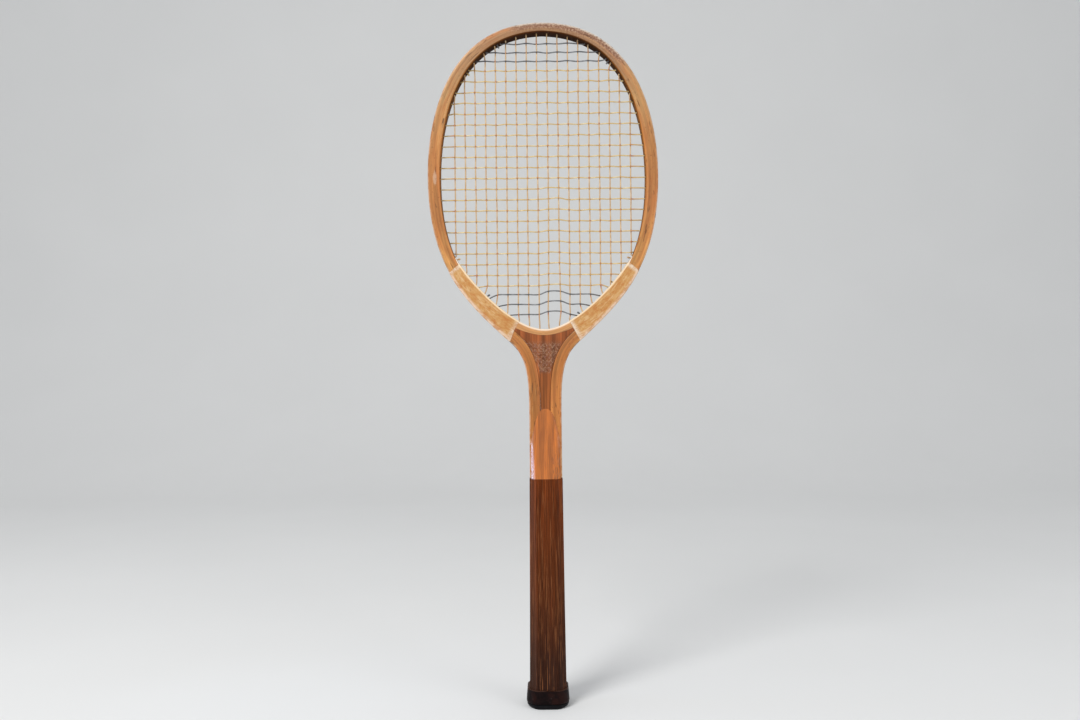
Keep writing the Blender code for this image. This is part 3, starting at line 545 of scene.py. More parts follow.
ROW_RUNS = ((0.0187, 0.0088, 3), (0.0457, 0.01088, 21), (0.2722, 0.0101, 3))
ROWS = [CROWN_TOP - below - spacing * row for below, spacing, count in ROW_RUNS for row in range(count)]
CROWN_SPAN, CROSS_SPAN, THROAT_SPAN = range(3), range(3, 24), range(24, 27)


def opening_track():
    """Edge of the opening on the right, from the crown down to its lowest point on the bow."""
    marks = [OUTLINE.length * index / OPENING_STEPS for index in range(OPENING_STEPS + 1)]
    edge = [OUTLINE.at(mark) + inward(mark) * face_width(mark) for mark in marks]
    upper = [point for point in edge if point.y > HORN_TOP]
    horn = upper[-1]
    along = (upper[-1] - upper[-2]).normalized()
    bottom = Vector((0.0, OPENING_BOTTOM))
    lower = curve(horn, horn + along * HORN_FULLNESS, bottom + Vector((BOW_FULLNESS, 0.0)), bottom)
    return Track(upper + lower[1:])


OPENING = opening_track()
OPENING_TO_SIDE = OPENING.where(lambda point: point.y > CROWN_TOP - WIDEST_BELOW_CROWN)


def outward(distance):
    """Square to the opening's edge, from the air into the wood."""
    along = OPENING.direction(distance)
    return Vector((-along.y, along.x))


def groove_point(mark):
    """Where a string's middle lies in the groove. A mark below zero is on the left."""
    point = OUTLINE.at(abs(mark)) + inward(abs(mark)) * LOOP_DEPTH
    return Vector((math.copysign(point.x, mark), point.y))


LOWEST_MARK = OUTLINE.where(lambda point: point.y > LOWEST_EXIT)


def exit_mark(entry_mark):
    """Distance along the outline where a hole from this distance along the opening comes out."""
    if entry_mark < OPENING_TO_SIDE:
        return OUTLINE_TO_SIDE * entry_mark / OPENING_TO_SIDE
    share = (entry_mark - OPENING_TO_SIDE) / (OPENING.length - OPENING_TO_SIDE)
    return OUTLINE_TO_SIDE + (LOWEST_MARK - OUTLINE_TO_SIDE) * share


class Hole:
    """A string's way through the wood, from the opening to the groove, on one side (1 or -1)."""

    def __init__(self, side, entry_mark, depth):
        self.depth = depth
        self.mark = side * exit_mark(entry_mark)
        entry = OPENING.at(entry_mark)
        self.entry = upright(Vector((side * entry.x, entry.y)), depth)
        self.exit = upright(groove_point(self.mark), depth)
        self.axis = (self.exit - self.entry).normalized()

    def inside(self, distance):
        return self.entry - self.axis * distance


def main_place(main):
    """Where a main string lies across the head. Mains are counted from the left."""
    return (main - (MAIN_COUNT - 1) / 2) * MAIN_SPACING


def straight_marks(side):
    """Distances along the opening where each string on one side would reach it in a straight line."""
    marks = {}
    for main in range(MAIN_COUNT):
        across = side * main_place(main)
        if across > 0:
            marks["top", main] = OPENING.where(lambda point: point.x < across, high=OPENING_TO_SIDE)
            marks["bottom", main] = OPENING.where(lambda point: point.x > across, low=OPENING_TO_SIDE)
    for row, height in enumerate(ROWS):
        marks["row", row] = OPENING.where(lambda point: point.y > height)
    return marks


def uncross(marks):
    """A main and a row that would cross too near the wood change places, so that they don't cross."""
    for kind, main in [key for key in marks if key[0] != "row"]:
        for row in range(len(ROWS)):
            past = marks["row", row] - marks[kind, main]
            if kind == "bottom":
                past = -past
            if 0.0 < past < LEAST_CROSSING:
                marks["row", row], marks[kind, main] = marks[kind, main], marks["row", row]


def entry_marks(side):
    """Distances along the opening of all the holes on one side, moved apart where they crowd."""
    marks = straight_marks(side)
    uncross(marks)
    outer_main = 0 if side < 0 else MAIN_COUNT - 1
    marks["tie", "mains"] = marks["bottom", outer_main] + TIE_STEP
    for span in (CROWN_SPAN, CROSS_SPAN, THROAT_SPAN):
        last = marks["row", span[0] if side < 0 else span[-1]]
        marks["tie", span] = last + math.copysign(TIE_STEP, OPENING_TO_SIDE - last)
    order = sorted(marks, key=marks.get)
    for _ in range(SPREADING_ROUNDS):
        for first, second in zip(order, order[1:]):
            short = HOLE_SPACING - (marks[second] - marks[first])
            if short > 0:
                marks[first] -= short / 2
                marks[second] += short / 2
    return marks


MARKS = {side: entry_marks(side) for side in (-1, 1)}


def hole(side, kind, number):
    of_mains = kind in ("top", "bottom") or number == "mains"
    return Hole(side, MARKS[side][kind, number], -HOLE_STAGGER if of_mains else HOLE_STAGGER)


HOLES = [hole(side, kind, number) for side, marks in MARKS.items() for kind, number in marks]


def tunnels(depth):
    """A rod through every string hole that lies at this depth, as one cutter."""
    shape = bmesh.new()
    for way in HOLES:
        if way.depth != depth:
            continue
        start, end = way.inside(TUNNEL_PAST), way.exit + way.axis * TUNNEL_PAST
        turn = way.axis.to_track_quat("Z", "Y").to_matrix().to_4x4()
        bmesh.ops.create_cone(
            shape, cap_ends=True, segments=HOLE_SIDES, radius1=HOLE_RADIUS, radius2=HOLE_RADIUS,
            depth=(end - start).length, matrix=Matrix.Translation((start + end) / 2) @ turn,
        )
    return shape


GRAIN_STEP = 0.0005
GRIME_REACH = 0.0022


def note(piece, name, kind, values):
    """Gives each vertex a number or a vector that the finish can read."""
    data = piece.data.attributes.new(name, kind, "POINT").data
    if kind == "FLOAT":
        data.foreach_set("value", values)
    else:
        data.foreach_set("vector", [part for value in values for part in value])


def lay_grain(piece, track, inner_from=None):
    """Tells each vertex its way along the bend, its distance in from the edge and its depth.

    It also learns how near the next string hole is, for grime, and whether it lies on the inner wall.
    """
    count = int(track.length / GRAIN_STEP)
    line = KDTree(count + 1)
    for index in range(count + 1):
        line.insert((*track.at(index * GRAIN_STEP), 0.0), index)
    line.balance()
    mouths = KDTree(2 * len(HOLES))
    for index, way in enumerate(HOLES):
        mouths.insert(way.entry, index)
        mouths.insert(way.exit - way.axis * LOOP_DEPTH, index)
    mouths.balance()
    grain, grime, inner = [], [], []
    for vertex in piece.data.vertices:
        x, y, z = vertex.co
        _, index, distance = line.find((abs(x), z, 0.0))
        mark = index * GRAIN_STEP
        grain.append((math.copysign(mark, x), distance, y))
        near = mouths.find(vertex.co)[2]
        grime.append(max(0.0, 1.0 - max(near - HOLE_RADIUS, 0.0) / GRIME_REACH))
        inner.append(1.0 if inner_from and distance > inner_from(mark) else 0.0)
    note(piece, "grain", "FLOAT_VECTOR", grain)
    note(piece, "grime", "FLOAT", grime)
    note(piece, "inner_wall", "FLOAT", inner)


def drilled(piece):
    for depth in (HOLE_STAGGER, -HOLE_STAGGER):
        cut_out(piece, tunnels(depth))


hoop = added("hoop_lath", lofted(lath_sections()), varnished_lath())
drilled(hoop)
LATH_LINE = Track(OUTLINE.points + [Vector((SHAFT_HALF, CORE_BOTTOM))])
lay_grain(hoop, LATH_LINE, lambda mark: face_width(min(mark, OUTLINE.length)) - INNER_WALL_SKIN)
fitted(hoop, "ash_bend", "hoop_ash")

# The throat bow is a bent strip of the same ash, glued into the hoop to close the opening below. Its
# ends are pared down to thin horns that run up inside the limbs.
BOW_FACE = 0.0060
BOW_THICKENING = 0.0022
BOW_THICKENING_REACH = 0.0300
BOW_CORNER_WITHIN = 0.06
HORN_TIP = 0.0005
GLUED_EDGE = 0.00002
BOW_STEP = 0.0020
BOW_TONE = (0.60, 0.290, 0.110)
BOW_EDGE_HIGHLIGHT_TONE = (0.90, 0.76, 0.60)
BOW_INSIDE_SHADE_TONE = (0.30, 0.10, 0.03)


def reach(start, direction, edge):
    """How far a line from start goes before it meets a chain of points, or None."""
    found = []
    for first, second in zip(edge, edge[1:]):
        run = second - first
        turn = direction.x * run.y - direction.y * run.x
        if abs(turn) < 1e-12:
            continue
        offset = first - start
        distance = (offset.x * run.y - offset.y * run.x) / turn
        share = (offset.x * direction.y - offset.y * direction.x) / turn
        if 0.0 <= share <= 1.0 and distance > 0.0:
            found.append(distance)
    return min(found, default=None)


def bow_thickness(mark):
    """The bow's thickness, and whether the limb sets it. Over the wedge the bow sets it itself."""
    share = (OPENING.length - mark) / BOW_THICKENING_REACH
    free = BOW_FACE + BOW_THICKENING * share * share
    to_limb = reach(OPENING.at(mark), outward(mark), INNER_EDGE)
    if to_limb is None or to_limb - SEAM > free:
        return free, False
    return to_limb - SEAM, True


def bow_marks():
    """Distances along the opening of the bow's sections, from the middle up to the horn's tip."""
    corner = halved(
        lambda distance: not bow_thickness(OPENING.length - distance)[1], 0.0, BOW_CORNER_WITHIN
    )[1]
    over_wedge = math.ceil(corner / BOW_STEP)
    marks = [OPENING.length - corner * index / over_wedge for index in range(over_wedge + 1)]
    while bow_thickness(marks[-1] - BOW_STEP)[0] > HORN_TIP:
        marks.append(marks[-1] - BOW_STEP)
    return marks, over_wedge


BOW_MARKS, BOW_CORNER = bow_marks()


def bow_section(mark):
    thickness = bow_thickness(mark)[0]
    edge, across = OPENING.at(mark), outward(mark)
    trim = min(INNER_EDGE_ROUND, thickness / 3)
    corners = (
        ((0.0, -HALF_DEPTH), trim), ((0.0, HALF_DEPTH), trim),
        ((thickness, HALF_DEPTH), GLUED_EDGE), ((thickness, -HALF_DEPTH), GLUED_EDGE),
    )
    return [upright(edge + across * deep, depth) for deep, depth in rounded(corners)]


def varnished_bow():
    finish = Finish(
        "varnished_ash_bow", 0.38, Specular_IOR_Level=0.15, Coat_Weight=0.25, Coat_Roughness=0.2
    )
    way = finish.attribute("grain")
    _, across, depth = finish.parts(way)
    grain = wood_grain(finish, way)
    colour = grained(finish, BOW_TONE, grain, 0.4)
    # Painted highlight along the bow's rounded edge at the opening.
    colour = finish.mix(finish.rise(across, 0.0009, 0.0024, 0.85, 0.0), colour, BOW_EDGE_HIGHLIGHT_TONE)
    # Painted shade: the bow's inside face darkens towards the back.
    inside = finish.rise(depth, -HALF_DEPTH + 0.0008, -HALF_DEPTH + 0.0040, 0.0, 0.7)
    colour = finish.mix(inside, colour, BOW_INSIDE_SHADE_TONE)
    colour = finish.mix(finish.times(finish.attribute("grime", "Fac"), 0.75), colour, DIRT_AND_SHADE_TONE)
    finish.give("Base Color", colour)
    raise_grain(finish, grain)
    return finish.material


sections = [bow_section(mark) for mark in BOW_MARKS]
sections = [mirrored(section) for section in reversed(sections[1:])] + sections
bow = added("bow_strip", lofted(sections), varnished_bow())
drilled(bow)
lay_grain(bow, OPENING)
fitted(bow, "throat_bow", "bow_ash")

# The throat wedge is a solid block of mahogany under the bow, and its tail runs down between the
# limbs. It is glued in, levelled with them and varnished; its worn ornament is a plain lattice.
TAIL_BOTTOM = 0.2614
TAIL_FROM, TAIL_UNTIL = 0.310, 0.350
WEDGE_EDGE = 0.0003
MAHOGANY = (0.320, 0.090, 0.025)
MAHOGANY_TAIL = (0.320, 0.094, 0.022)
LATTICE_LOW, LATTICE_HIGH = 0.333, 0.3680
LATTICE_LOW_HALF, LATTICE_HIGH_HALF = 0.0058, 0.0185
LATTICE_LOW_FADE, LATTICE_HIGH_FADE = 0.004, 0.007
LATTICE_STEP = 0.0050
LATTICE_SLOPE = 1.3
LATTICE_GROUND = (0.110, 0.048, 0.026)
INK_TONES = ((0.40, (0.33, 0.165, 0.095)), (0.50, (0.42, 0.26, 0.16)), (0.60, (0.22, 0.10, 0.08)))
BURNT_TONE = (0.070, 0.024, 0.012)


def wedge_outline():
    below_bow = [
        OPENING.at(mark) + outward(mark) * (bow_thickness(mark)[0] + SEAM)
        for mark in BOW_MARKS[:BOW_CORNER + 1]
    ]
    beside_limb = [
        OUTLINE.at(mark) + inward(mark) * (face_width(mark) + SEAM) for mark in LATH_MARKS
    ]
    last = below_bow[-2]
    along = (below_bow[-1] - last).normalized()
    tip = last + along * reach(last, along, beside_limb)
    side = [point for point in beside_limb if point.y < tip.y and point.x < tip.x]
    right = [*below_bow[:-1], tip, *side, Vector((LIMB_INSIDE - SEAM, TAIL_BOTTOM))]
    return [Vector((-point.x, point.y)) for point in reversed(right[1:])] + right


def wedge_block():
    """The outline filled, drawn out through the racket's depth and its edges eased."""
    shape = bmesh.new()
    ring = [shape.verts.new(upright(point, -HALF_DEPTH)) for point in wedge_outline()]
    edges = [shape.edges.new((ring[index - 1], vert)) for index, vert in enumerate(ring)]
    bmesh.ops.triangle_fill(shape, use_beauty=True, edges=edges)
    drawn = bmesh.ops.extrude_face_region(shape, geom=shape.faces[:], use_keep_orig=True)["geom"]
    moved = [item for item in drawn if isinstance(item, bmesh.types.BMVert)]
    bmesh.ops.translate(shape, verts=moved, vec=(0.0, 2 * HALF_DEPTH, 0.0))
    bmesh.ops.recalc_face_normals(shape, faces=shape.faces)
    rims = [edge for edge in shape.edges if edge.calc_face_angle(0.0) > math.radians(80.0)]
    rims = [edge for edge in rims if abs(edge.verts[0].co.y - edge.verts[1].co.y) < 1e-7]
    bmesh.ops.bevel(
        shape, geom=rims, offset=WEDGE_EDGE, affect="EDGES", segments=2, profile=0.5, material=-1
    )
    return shape


def upright_wood(finish):
    """A point's place, how far across and how high it lies, and a grain that runs straight up."""
    place = finish.place()
    x, y, z = finish.parts(place)
    return place, x, z, wood_grain(finish, finish.vector(z, x, y))


def lattice(finish, x, z):
    """How much of a line lies here: two sets of lines that lean to the left and to the right."""
    waves = []
    for operation in ("ADD", "SUBTRACT"):
        leaning = finish.math(operation, z, finish.times(x, LATTICE_SLOPE))
        wave = finish.math("SINE", finish.times(leaning, math.pi / LATTICE_STEP))
        waves.append(finish.math("ABSOLUTE", wave))
    return finish.rise(finish.math("MINIMUM", *waves), 0.15, 0.40, 1.0, 0.30)


def varnished_mahogany():
    finish = Finish("varnished_mahogany", 0.4, Specular_IOR_Level=0.12, Coat_Weight=0.2, Coat_Roughness=0.2)
    place, x, z, grain = upright_wood(finish)
    tail = finish.rise(z, TAIL_FROM, TAIL_UNTIL, 1.0, 0.0)
    colour = grained(finish, finish.mix(tail, MAHOGANY, MAHOGANY_TAIL), grain, 0.6)
    inside = finish.times(
        finish.rise(z, LATTICE_LOW, LATTICE_LOW + LATTICE_LOW_FADE),
        finish.rise(z, LATTICE_HIGH - LATTICE_HIGH_FADE, LATTICE_HIGH, 1.0, 0.0),
    )
    half = finish.rise(z, LATTICE_LOW, LATTICE_HIGH, LATTICE_LOW_HALF, LATTICE_HIGH_HALF)
    out = finish.math("DIVIDE", finish.math("ABSOLUTE", x), half)
    inside = finish.times(inside, finish.rise(out, 0.85, 1.0, 1.0, 0.0))
    flaked = finish.noise(place, 470.0, 3.0, 0.75)
    inked = finish.times(finish.times(lattice(finish, x, z), inside), finish.rise(flaked, 0.44, 0.52))
    ink = finish.shades(finish.noise(place, 380.0, 2.0, 0.7), *INK_TONES)
    colour = finish.mix(finish.times(inside, 0.42), colour, LATTICE_GROUND)
    colour = finish.mix(finish.times(inked, 0.8), colour, ink)
    burnt = finish.times(inside, finish.rise(flaked, 0.42, 0.36, 0.0, 0.75))
    colour = finish.mix(burnt, colour, BURNT_TONE)
    finish.give("Base Color", colour)
    finish.give("Roughness", finish.rise(inked, 0.0, 1.0, 0.38, 0.6))
    raise_grain(finish, grain)
    return finish.material


wedge = added("wedge_block", wedge_block(), varnished_mahogany())
drilled(wedge)
fitted(wedge, "throat_wedge", "mahogany")

# The handle filler is a straight strip of ash glued between the limbs, under the slips and the grip.
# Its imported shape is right, so it only takes bare wood for its finish.
FILLER_TONE = (0.42, 0.25, 0.13)


def bare_ash():
    finish = Finish("bare_ash", 0.65)
    grain = upright_wood(finish)[-1]
    finish.give("Base Color", grained(finish, FILLER_TONE, grain, 0.6))
    raise_grain(finish, grain, 0.0002, 0.7)
    return finish.material


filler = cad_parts["handle_filler"]
filler.data.materials.clear()
filler.data.materials.append(bare_ash())

# The two slips are thin tongues of orange ash on the front and the back of the shaft. They thicken
# it towards the grip, and each starts in a thin rounded end and is glued flat over the limbs.
SHARP_EDGE = 0.00001
SLIP_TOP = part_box("shaft_front_overlay")[1].z
SLIP_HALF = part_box("shaft_front_overlay")[1].x
SLIP_NOSE = 0.0330
SLIP_TIP_FULLNESS = 0.0070
SLIP_SIDE_FULLNESS = 0.0255
SLIP_LEAN = math.radians(11.8)
SLIP_TIP_RISE = 0.00025
SLIP_RISE = 0.0052
SLIP_SIDE_EDGE = 0.06
SLIP_EDGE_ROUND = 0.0010
SLIP_FOOT = GRIP_TOP + 0.0001
SLIP_NOSE_STEPS, SLIP_SIDE_STEPS = 28, 8
SLIP_TONE = (0.505, 0.142, 0.020)
FLECK_TONE = (0.33, 0.085, 0.016)
SLIP_RUBBED_AND_HIGHLIGHT_TONE = (0.62, 0.40, 0.30)
HAIRLINE_TONE = (0.13, 0.05, 0.02)


def slip_edge():
    """Right edge of the slip, from its blunt tip down to the grip."""
    tip, full = Vector((0.0, SLIP_TOP)), Vector((SLIP_HALF, SLIP_TOP - SLIP_NOSE))
    in_and_up = Vector((-math.sin(SLIP_LEAN), math.cos(SLIP_LEAN)))
    pulls = tip + Vector((SLIP_TIP_FULLNESS, 0.0)), full + in_and_up * SLIP_SIDE_FULLNESS
    nose = curve(tip, *pulls, full, SLIP_NOSE_STEPS)
    foot = Vector((SLIP_HALF, SLIP_FOOT))
    side = [full.lerp(foot, (step + 1) / SLIP_SIDE_STEPS) for step in range(SLIP_SIDE_STEPS)]
    return nose[1:] + side


def slip_section(side, half, height):
    """A cross-section with bevelled sides. The slip grows thicker towards the grip."""
    share = (SLIP_TOP - height) / (SLIP_TOP - GRIP_TOP)
    rise = SLIP_TIP_RISE + (SLIP_RISE - SLIP_TIP_RISE) * share
    face = HALF_DEPTH + SEAM
    flat = max(half - rise, half / 2)
    side_edge, side_round = face + rise * SLIP_SIDE_EDGE, rise * SLIP_SIDE_EDGE / 3
    soft = min(SLIP_EDGE_ROUND, rise / 3)
    corners = (
        ((-half, face), SHARP_EDGE), ((half, face), SHARP_EDGE), ((half, side_edge), side_round),
        ((flat, face + rise), soft), ((-flat, face + rise), soft), ((-half, side_edge), side_round),
    )
    return [Vector((x, side * y, height)) for x, y in rounded(corners, 4, 2)]


def slip_wood():
    finish = Finish(
        "varnished_slip_ash", 0.36, Specular_IOR_Level=0.15, Coat_Weight=0.75, Coat_Roughness=0.16
    )
    place, x, z, grain = upright_wood(finish)
    colour = grained(finish, SLIP_TONE, grain, 0.4)
    fleck = finish.rise(finish.streaks(place, (500.0, 500.0, 45.0)), 0.60, 0.68)
    colour = finish.mix(finish.times(fleck, 0.5), colour, FLECK_TONE)
    # Paler near the bevelled sides: partly rubbed wear, partly a painted highlight.
    rubbed = finish.times(
        finish.rise(finish.math("ABSOLUTE", x), 0.0108, 0.0140),
        finish.rise(finish.noise(place, 110.0, 3.0, 0.6), 0.42, 0.58),
    )
    colour = finish.mix(finish.times(rubbed, 0.2), colour, SLIP_RUBBED_AND_HIGHLIGHT_TONE)
    hairlines = finish.rise(finish.streaks(place, (1000.0, 1000.0, 110.0)), 0.54, 0.60)
    hairlines = finish.times(finish.rise(x, 0.004, 0.007), hairlines)
    hairlines = finish.times(finish.rise(z, 0.236, 0.266, 1.0, 0.0), hairlines)
    colour = finish.mix(finish.times(hairlines, 0.8), colour, HAIRLINE_TONE)
    finish.give("Base Color", colour)
    raise_grain(finish, grain)
    return finish.material


slip_material = slip_wood()
for name, side, node in (("front_slip", -1, "shaft_front_overlay"), ("back_slip", 1, "shaft_back_overlay")):
    slip = added(name, lofted([slip_section(side, *place) for place in slip_edge()]), slip_material, 60.0)
    fitted(slip, node, "slip_ash")

# The grip is built up of four pieces of dark stained hardwood round the core: a slab in front, one
# behind and a cheek at each side. A toothed comb has been drawn down all eight faces for a firm hold.
GRIP_BEVEL = 0.0068
BUTT_BELLY = 0.0070
GRIP_SECTIONS = (
    (CORE_BOTTOM, 0.0386, 0.0328),
    (BUTT_BELLY, 0.0396, 0.0338),
    (0.0240, 0.0366, 0.0314),
    (0.1050, 0.0350, 0.0302),
    (GRIP_TOP, 0.0333, 0.0290),
)
GRIP_STEP = 0.0050
GRIP_END = 0.0006
GRIP_END_STEPS = ((0.0002, 0.00008), (0.0, 0.0003))
TOOTH = 0.00096
TOOTH_FLAT = 0.42
FURROW_BOTTOM = (0.60, 0.80)
FURROW_DEPTH = 0.00042
FURROW_DEPTHS = (0.6, 1.15)
PHASES = (0.0, 6.28)
GLUE_GAP = 0.00015
SLAB_CUT = HALF_DEPTH + GLUE_GAP
CHEEK_CUT = CORE_HALF + GLUE_GAP
FORWARD, BACKWARD = (0.0, -1.0, 0.0), (0.0, 1.0, 0.0)
CHEEK_FACES = (((0.0, -HALF_DEPTH, 0.0), FORWARD), ((0.0, HALF_DEPTH, 0.0), BACKWARD))
GRIP_CUTS = (
    ("grip_front", "grip_front_slab", (((0.0, -SLAB_CUT, 0.0), BACKWARD),)),
    ("grip_back", "grip_back_slab", (((0.0, SLAB_CUT, 0.0), FORWARD),)),
    ("grip_left", "grip_left_cheek", (*CHEEK_FACES, ((-CHEEK_CUT, 0.0, 0.0), (1.0, 0.0, 0.0)))),
    ("grip_right", "grip_right_cheek", (*CHEEK_FACES, ((CHEEK_CUT, 0.0, 0.0), (-1.0, 0.0, 0.0)))),
)
COMBED_TONES = (
    (0.0, (0.032, 0.012, 0.008)), (0.20, (0.050, 0.017, 0.009)),
    (0.5, (0.155, 0.038, 0.008)), (1.0, (0.205, 0.043, 0.007)),
)
FURROW_TONE = (0.040, 0.009, 0.002)
DRY_TONE = (0.34, 0.125, 0.045)
LEFT_BEVEL_SHEEN_TONE = (0.20, 0.105, 0.070)


def grip_size(height):
    """Width and depth of the grip at a height."""
    for low, high in zip(GRIP_SECTIONS, GRIP_SECTIONS[1:]):
        if height <= high[0]:
            share = (height - low[0]) / (high[0] - low[0])
            return tuple(a + (b - a) * share for a, b in zip(low[1:], high[1:]))
    return GRIP_SECTIONS[-1][1:]


def octagon(width, depth, grown=0.0):
    """Corners of the grip's eight-sided section, a box with its corners cut at 45 degrees."""
    half, deep = width / 2 + grown, depth / 2 + grown
    cut = GRIP_BEVEL + grown * (2 - math.sqrt(2))
    right = [(half - cut, -deep), (half, cut - deep), (half, deep - cut), (half - cut, deep)]
    return right + [(-x, y) for x, y in reversed(right)]


def comb_teeth():
    """Each face's teeth: where a furrow's bottom lies in its tooth, how deep it is, and its phase."""
    dice = random.Random(11)
    corners = [Vector(corner) for corner in octagon(*GRIP_SECTIONS[3][1:])]
    faces = []
    for index, corner in enumerate(corners):
        count = round((corners[(index + 1) % 8] - corner).length / TOOTH)
        faces.append([
            (dice.uniform(*FURROW_BOTTOM), dice.uniform(*FURROW_DEPTHS), dice.uniform(*PHASES))
            for _ in range(count)
        ])
    return faces


TEETH = comb_teeth()


def combed_section(height, worn=0.0):
    """The eight-sided section with its furrows, which stray a little from straight lines."""
    corners = [Vector(corner) for corner in octagon(*grip_size(height), -worn)]
    ring = []
    for index, teeth in enumerate(TEETH):
        start, end = corners[index], corners[(index + 1) % 8]
        into = Vector((start.y - end.y, end.x - start.x)).normalized()
        for number, (bottom, depth, phase) in enumerate(teeth):
            stray = 0.07 * math.sin(height * 95 + phase) + 0.05 * math.sin(height * 310 + 3 * phase)
            cut = FURROW_DEPTH * depth * (1 + 0.25 * math.sin(height * 70 + 2 * phase))
            for place, deep in ((0.0, 0.0), (TOOTH_FLAT, 0.0), (bottom, cut)):
                lean = stray if 0 < number + place < len(teeth) - 0.1 else 0.0
                ring.append(start.lerp(end, (number + place + lean) / len(teeth)) + into * deep)
    return [Vector((x, y, height)) for x, y in ring]


def combed_block():
    """The whole grip in one, with its upper edge worn round."""
    count = round((GRIP_TOP - CORE_BOTTOM) / GRIP_STEP)
    length = GRIP_TOP - GRIP_END - CORE_BOTTOM
    sections = [combed_section(CORE_BOTTOM + length * index / count) for index in range(count + 1)]
    sections += [combed_section(GRIP_TOP - below, worn) for below, worn in GRIP_END_STEPS]
    return lofted(sections)


def sliced(shape, place, away):
    """Cuts off what lies past a plane, on the side that away points to, and closes the cut."""
    everything = shape.verts[:] + shape.edges[:] + shape.faces[:]
    bmesh.ops.bisect_plane(
        shape, geom=everything, plane_co=place, plane_no=away, clear_outer=True, dist=1e-7
    )
    bmesh.ops.holes_fill(shape, edges=[edge for edge in shape.edges if edge.is_boundary])
    bmesh.ops.recalc_face_normals(shape, faces=shape.faces)


def combed_wood():
    finish = Finish("combed_hardwood", 0.5, Specular_IOR_Level=0.14)
    place, x, z, grain = upright_wood(finish)
    tone = finish.shades(finish.math("DIVIDE", z, GRIP_TOP), *COMBED_TONES)
    colour = grained(finish, tone, grain, 0.5)
    lines = finish.streaks(place, (1900.0, 1900.0, 16.0), 3.0, 0.7)
    colour = finish.mix(finish.rise(lines, 0.48, 0.58, 0.0, 0.7), colour, FURROW_TONE)
    dry = finish.streaks(place, (900.0, 900.0, 22.0), 3.0, 0.65)
    colour = finish.mix(finish.rise(dry, 0.55, 0.66, 0.0, 0.6), colour, DRY_TONE)
    # Painted sheen: the left side of the grip is greyed along its lines, as a reflection of the light from
    # the left.
    left_sheen = finish.times(
        finish.rise(x, -0.0125, -0.0095, 1.0, 0.0), finish.rise(lines, 0.38, 0.55, 0.75, 0.25)
    )
    colour = finish.mix(finish.times(left_sheen, 0.25), colour, LEFT_BEVEL_SHEEN_TONE)
    finish.give("Base Color", colour)
    finish.give("Roughness", finish.rise(dry, 0.4, 0.7, 0.5, 0.72))
    finish.bump(finish.math("SUBTRACT", dry, grain[2]), 0.00012, 0.7)
    return finish.material


comb_material = combed_wood()
block = combed_block()
for name, node, cuts in GRIP_CUTS:
    shape = block.copy()
    for place, away in cuts:
        sliced(shape, place, away)
    fitted(added(name, shape, comb_material, 20.0), node, "combed_wood")
block.free()

# The butt is closed by a plate of the same dark wood, glued on under the grip and shaped round up to
# the leather. It is flat underneath, so the racket can stand on it.
CAP_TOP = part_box("butt_cap")[1].z
CAP_ROUND = 0.9 * CAP_TOP
CAP_TUCK = Vector((0.21, 0.03, 0.0))
CAP_STEPS = 10
BAND_THICKNESS = 0.0012
BAND_OFF = 0.0003
BUTT_OVER = BAND_OFF + BAND_THICKNESS
BUTT_CORNER = 0.0044
BUTT_LEAN = 0.0009
BUTT_TAPER = 0.035
BUTT_TONES = ((0.3, (0.002, 0.002, 0.003)), (0.7, (0.006, 0.006, 0.007)))
SCRATCH_TONE = (0.040, 0.036, 0.032)


def butt_ring(height, size, grown):
    """The butt's section with soft corners. The old butt stands out a little further at the left."""
    corners = [(corner, BUTT_CORNER) for corner in octagon(*size, grown)]
    lean = BUTT_LEAN if grown > BAND_OFF else 0.0
    ring = [Vector((x, y, height)) for x, y in rounded(corners, 4, 8)]
    for point in ring:
        point.x += lean * min(point.x / size[0], 0.0)
    return ring


def butt_taper(height):
    """The butt's sides draw in a little towards its end."""
    below = max(1 - height / BUTT_BELLY, 0.0)
    return 1 - BUTT_TAPER * below * below


def butt_wood():
    finish = Finish("dark_butt_wood", 0.5, Specular_IOR_Level=0.10)
    place = finish.place()
    mottle = finish.noise(place, 240.0, 4.0, 0.65)
    scratches = finish.rise(finish.streaks(place, (160.0, 160.0, 1400.0)), 0.62, 0.72, 0.0, 0.5)
    finish.give("Base Color", finish.mix(scratches, finish.shades(mottle, *BUTT_TONES), SCRATCH_TONE))
    finish.give("Roughness", finish.rise(mottle, 0.3, 0.7, 0.38, 0.6))
    finish.bump(mottle, 0.0003, 0.5)
    return finish.material


def cap_rings():
    """From the flat underside up round the corner to the leather."""
    rings = []
    for step in range(CAP_STEPS + 1):
        turn = math.pi / 2 * step / CAP_STEPS
        height = CAP_ROUND * (1 - math.cos(turn))
        tuck = Vector((1.0, 1.0, 1.0)) - CAP_TUCK * (1 - math.sin(turn))
        rings.append([point * tuck for point in butt_ring(height, GRIP_SECTIONS[0][1:], BUTT_OVER)])
    rings.append(butt_ring(CAP_TOP, GRIP_SECTIONS[0][1:], BUTT_OVER))
    for ring in rings:
        for point in ring:
            point.x *= butt_taper(point.z)
    return rings


cap = added("butt_plate", lofted(cap_rings()), butt_wood(), 50.0)
fitted(cap, "butt_cap", "butt_wood")

